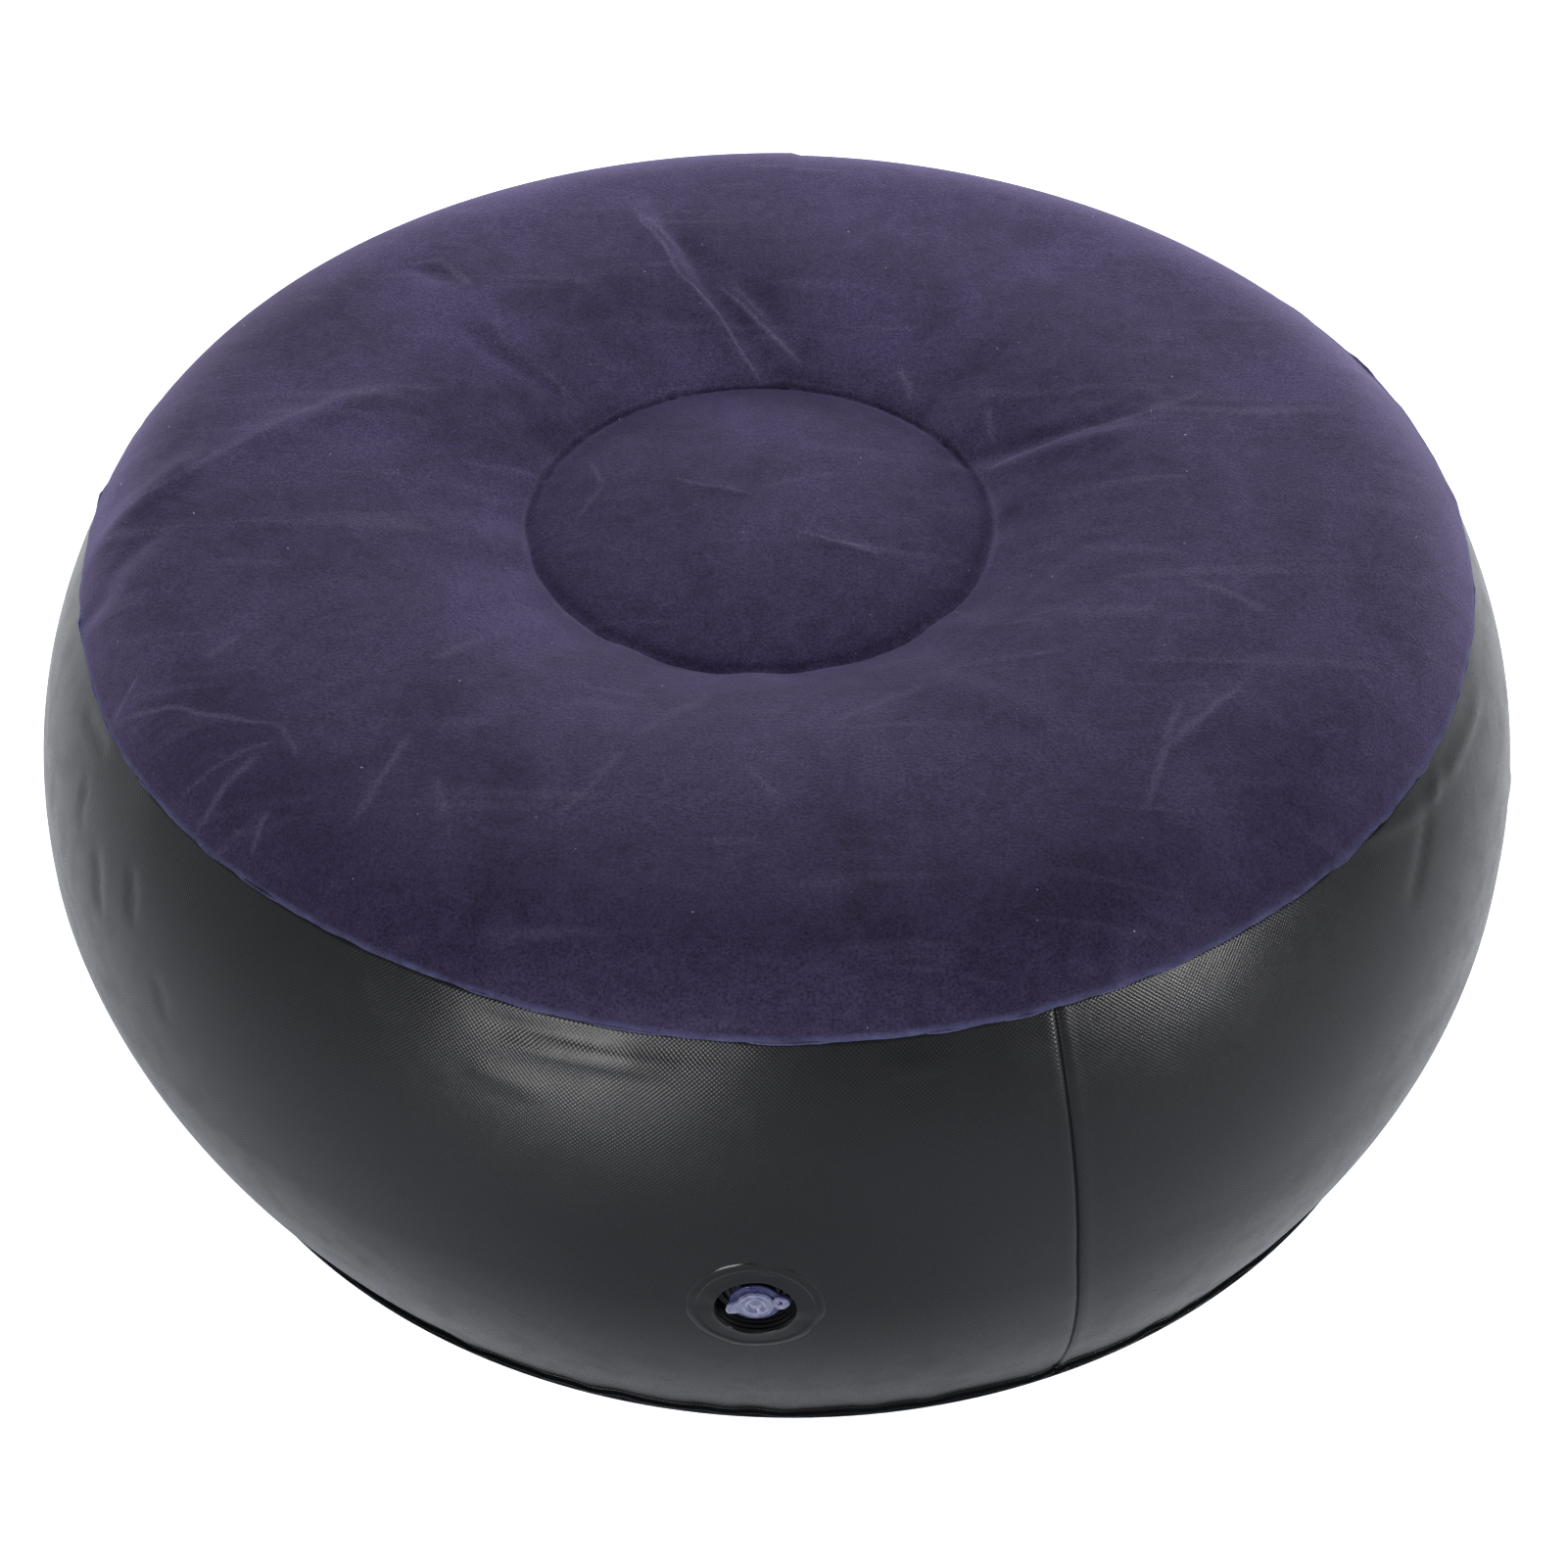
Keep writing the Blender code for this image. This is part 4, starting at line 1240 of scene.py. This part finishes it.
# %% Neck with its lip and ear
lip_top, lip_under, lip_radius = -0.0026, -0.0036, 0.0096
neck_line = [
    (0.0041, lip_top - 0.0004), (0.0044, lip_top - 0.0001), (0.0050, lip_top), (0.0062, lip_top),
    (0.0080, lip_top), (0.0090, lip_top - 0.0001), (0.0094, lip_top + 0.0001), (lip_radius, lip_top - 0.0001),
    (lip_radius + 0.0001, lip_top - 0.0005), (lip_radius, lip_under + 0.0001), (0.0093, lip_under),
    (0.0075, lip_under), (0.0066, lip_under - 0.0002), (0.0062, lip_under - 0.0008), (0.0062, -0.0088),
    (0.0070, -0.0092), (0.0074, -0.0094), (0.0074, -0.0098), (0.0064, -0.0101), (0.0062, -0.0106),
    (0.0062, -0.0214), (0.0060, -0.0219), (0.0056, -0.0220), (0.0046, -0.0220), (0.0041, -0.0216),
    (0.0041, -0.0100), (0.0041, lip_top - 0.0004),
]


def lip_reach(at):
    ear = capsule_reach(at, 0.0, 0.0128, 0.0027)
    return soft_max(np.full_like(at, lip_radius), ear, 0.0012)


neck = turn_sheet("valve_neck", neck_line, 128, deep_film, uv_radius=0.0062)
points = points_of(neck)
flange_only = points[:, 2] > lip_under - 0.0003
shaft = points.copy()
push_outline(neck, lip_reach, 0.0078, lip_radius)
points = points_of(neck)
points[~flange_only] = shaft[~flange_only]
move_points(neck, points)
place_moulding(neck, valve_place @ roll)
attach(neck, "valve")
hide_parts("valve_stem")
print("neck:", triangles(neck), "triangles")

# %% [markdown]
# The cap is a soft disc with a ring pressed into it, a plug under it and a tab to pull it by.

# %% Cap with its tab
cap_base, cap_face, cap_radius = -0.0023, -0.0010, 0.0066
cap_line = [
    (0.0, cap_face - 0.0003), (0.0008, cap_face - 0.0003), (0.0014, cap_face - 0.00035),
    (0.0018, cap_face - 0.0007), (0.0024, cap_face - 0.0009), (0.0030, cap_face - 0.0008),
    (0.0034, cap_face - 0.0003), (0.0037, cap_face + 0.0001), (0.0041, cap_face + 0.0002),
    (0.0046, cap_face + 0.0001), (0.0052, cap_face), (0.0058, cap_face),
    (0.0061, cap_face + 0.00012), (0.0064, cap_face + 0.0001), (cap_radius, cap_face - 0.0002),
    (cap_radius + 0.0001, (cap_base + cap_face) / 2), (cap_radius, cap_base + 0.0002), (0.0063, cap_base),
    (0.0052, cap_base), (0.0040, cap_base), (0.0038, cap_base - 0.0005), (0.0032, cap_base - 0.0040),
    (0.0028, cap_base - 0.0044), (0.0012, cap_base - 0.0045), (0.0, cap_base - 0.0045),
]


def cap_reach(at):
    tab = capsule_reach(at, math.pi, 0.0110, 0.0029)
    lug = capsule_reach(at, 0.0, 0.0071, 0.0024)
    return soft_max(soft_max(np.full_like(at, cap_radius), tab, 0.0012), lug, 0.0004)


cap = turn_sheet("valve_cap_with_tab", cap_line, 144, clear_film, uv_radius=0.0066)
push_outline(cap, cap_reach, 0.0052, cap_radius)
points = points_of(cap)
tab_start, tab_length, tab_curl = 0.0068, 0.004, 0.0011
out_on_tab = np.clip((-points[:, 0] - tab_start) / tab_length, 0, 1)
points[:, 2] += tab_curl * out_on_tab**1.4
move_points(cap, points)
place_moulding(cap, valve_place @ roll)
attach(cap, "cap")
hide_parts("valve_cap")
print("cap:", triangles(cap), "triangles")

# %% [markdown]
# The strap is a flat bar with a three-cornered eyelet. It is a ring turned about the eyelet, whose inner edge
# is pushed to a rounded triangle and whose outer edge is pushed to the strap's outline.

# %% Strap with its eyelet
eyelet_at, strap_low, strap_high = 0.0094, -0.0020, -0.0010
ring_line = [
    (0.0010, strap_low + 0.0002), (0.0010, strap_high - 0.0002), (0.0012, strap_high + 0.0001),
    (0.0015, strap_high), (0.0023, strap_high), (0.0027, strap_high + 0.0001), (0.0029, strap_high - 0.00015),
    (0.0029, strap_low + 0.0002), (0.0027, strap_low), (0.0012, strap_low), (0.0010, strap_low + 0.0002),
]


def strap_reach(at):
    to_cap = capsule_reach(at, math.pi, 0.0026, 0.0024)
    to_ear = capsule_reach(at, 0.0, 0.0034, 0.0022)
    corners = 0.0026 + 0.0006 * np.cos(2 * (at - math.pi / 2))
    return soft_max(soft_max(to_cap, to_ear, 0.0006), corners, 0.0006)


strap = turn_sheet("cap_strap", ring_line, 96, clear_film, uv_radius=0.0029)
push_outline(strap, strap_reach, 0.0019, 0.0029)
points = points_of(strap)
hole_angle = np.arctan2(points[:, 1], points[:, 0])
near_hole = np.clip((0.0019 - np.hypot(points[:, 0], points[:, 1])) / 0.0009, 0, 1)
points[:, :2] *= (1 + 0.32 * near_hole * np.cos(3 * hole_angle + math.pi))[:, None]
points[:, 0] += eyelet_at
move_points(strap, points)
place_moulding(strap, valve_place @ roll)
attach(strap, "cap")
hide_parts("cap_tether")
print("strap:", triangles(strap), "triangles")

# %% [markdown]
# ## The tie tube
# The tube inside joins the two tie welds. The disc at its top is shifted one way and the bottom the other, so
# the tube leans a little between them.

# %% Tube
tube_low, tube_high = 0.0247, height - tie_depth - 0.0035
tube_rows, tube_waist = 16, 0.004
tube_heights = np.linspace(tube_low, tube_high, tube_rows)
tube_radii = tie_radius - 0.0008 - tube_waist * np.sin(np.linspace(0, math.pi, tube_rows))
tube_line = np.stack([tube_radii, tube_heights], axis=1)
tie_tube = turn_sheet("tie_tube", tube_line, 96, smooth_film, uv_radius=tie_radius)
points = points_of(tie_tube)
share = (points[:, 2] - tube_low) / (tube_high - tube_low)
points[:, 0] += foot_shift + (disc_shift - foot_shift) * share
move_points(tie_tube, points)
face_away(tie_tube, (0, 0, middle))
thicken(tie_tube)
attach(tie_tube, "stool")
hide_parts("inner_tube")
print("tie tube:", triangles(tie_tube), "triangles")

# %% [markdown]
# ## Pieces that keep their CAD shape
# The seam's tape and the flap are hidden by air-tight film. Their CAD shapes are right as they are, so they
# only get a finish.

# %% Finish the hidden pieces
for node, finish in (("side_seam_tape", smooth_film), ("valve_flap", clear_film)):
    for material_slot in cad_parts[node].material_slots:
        material_slot.material = finish
print("finished:", "side_seam_tape, valve_flap")

# %% [markdown]
# ## Close the scene
# The CAD's box is printed once more at the end.

# %% Sizes and finish
print("CAD box", cad_box)
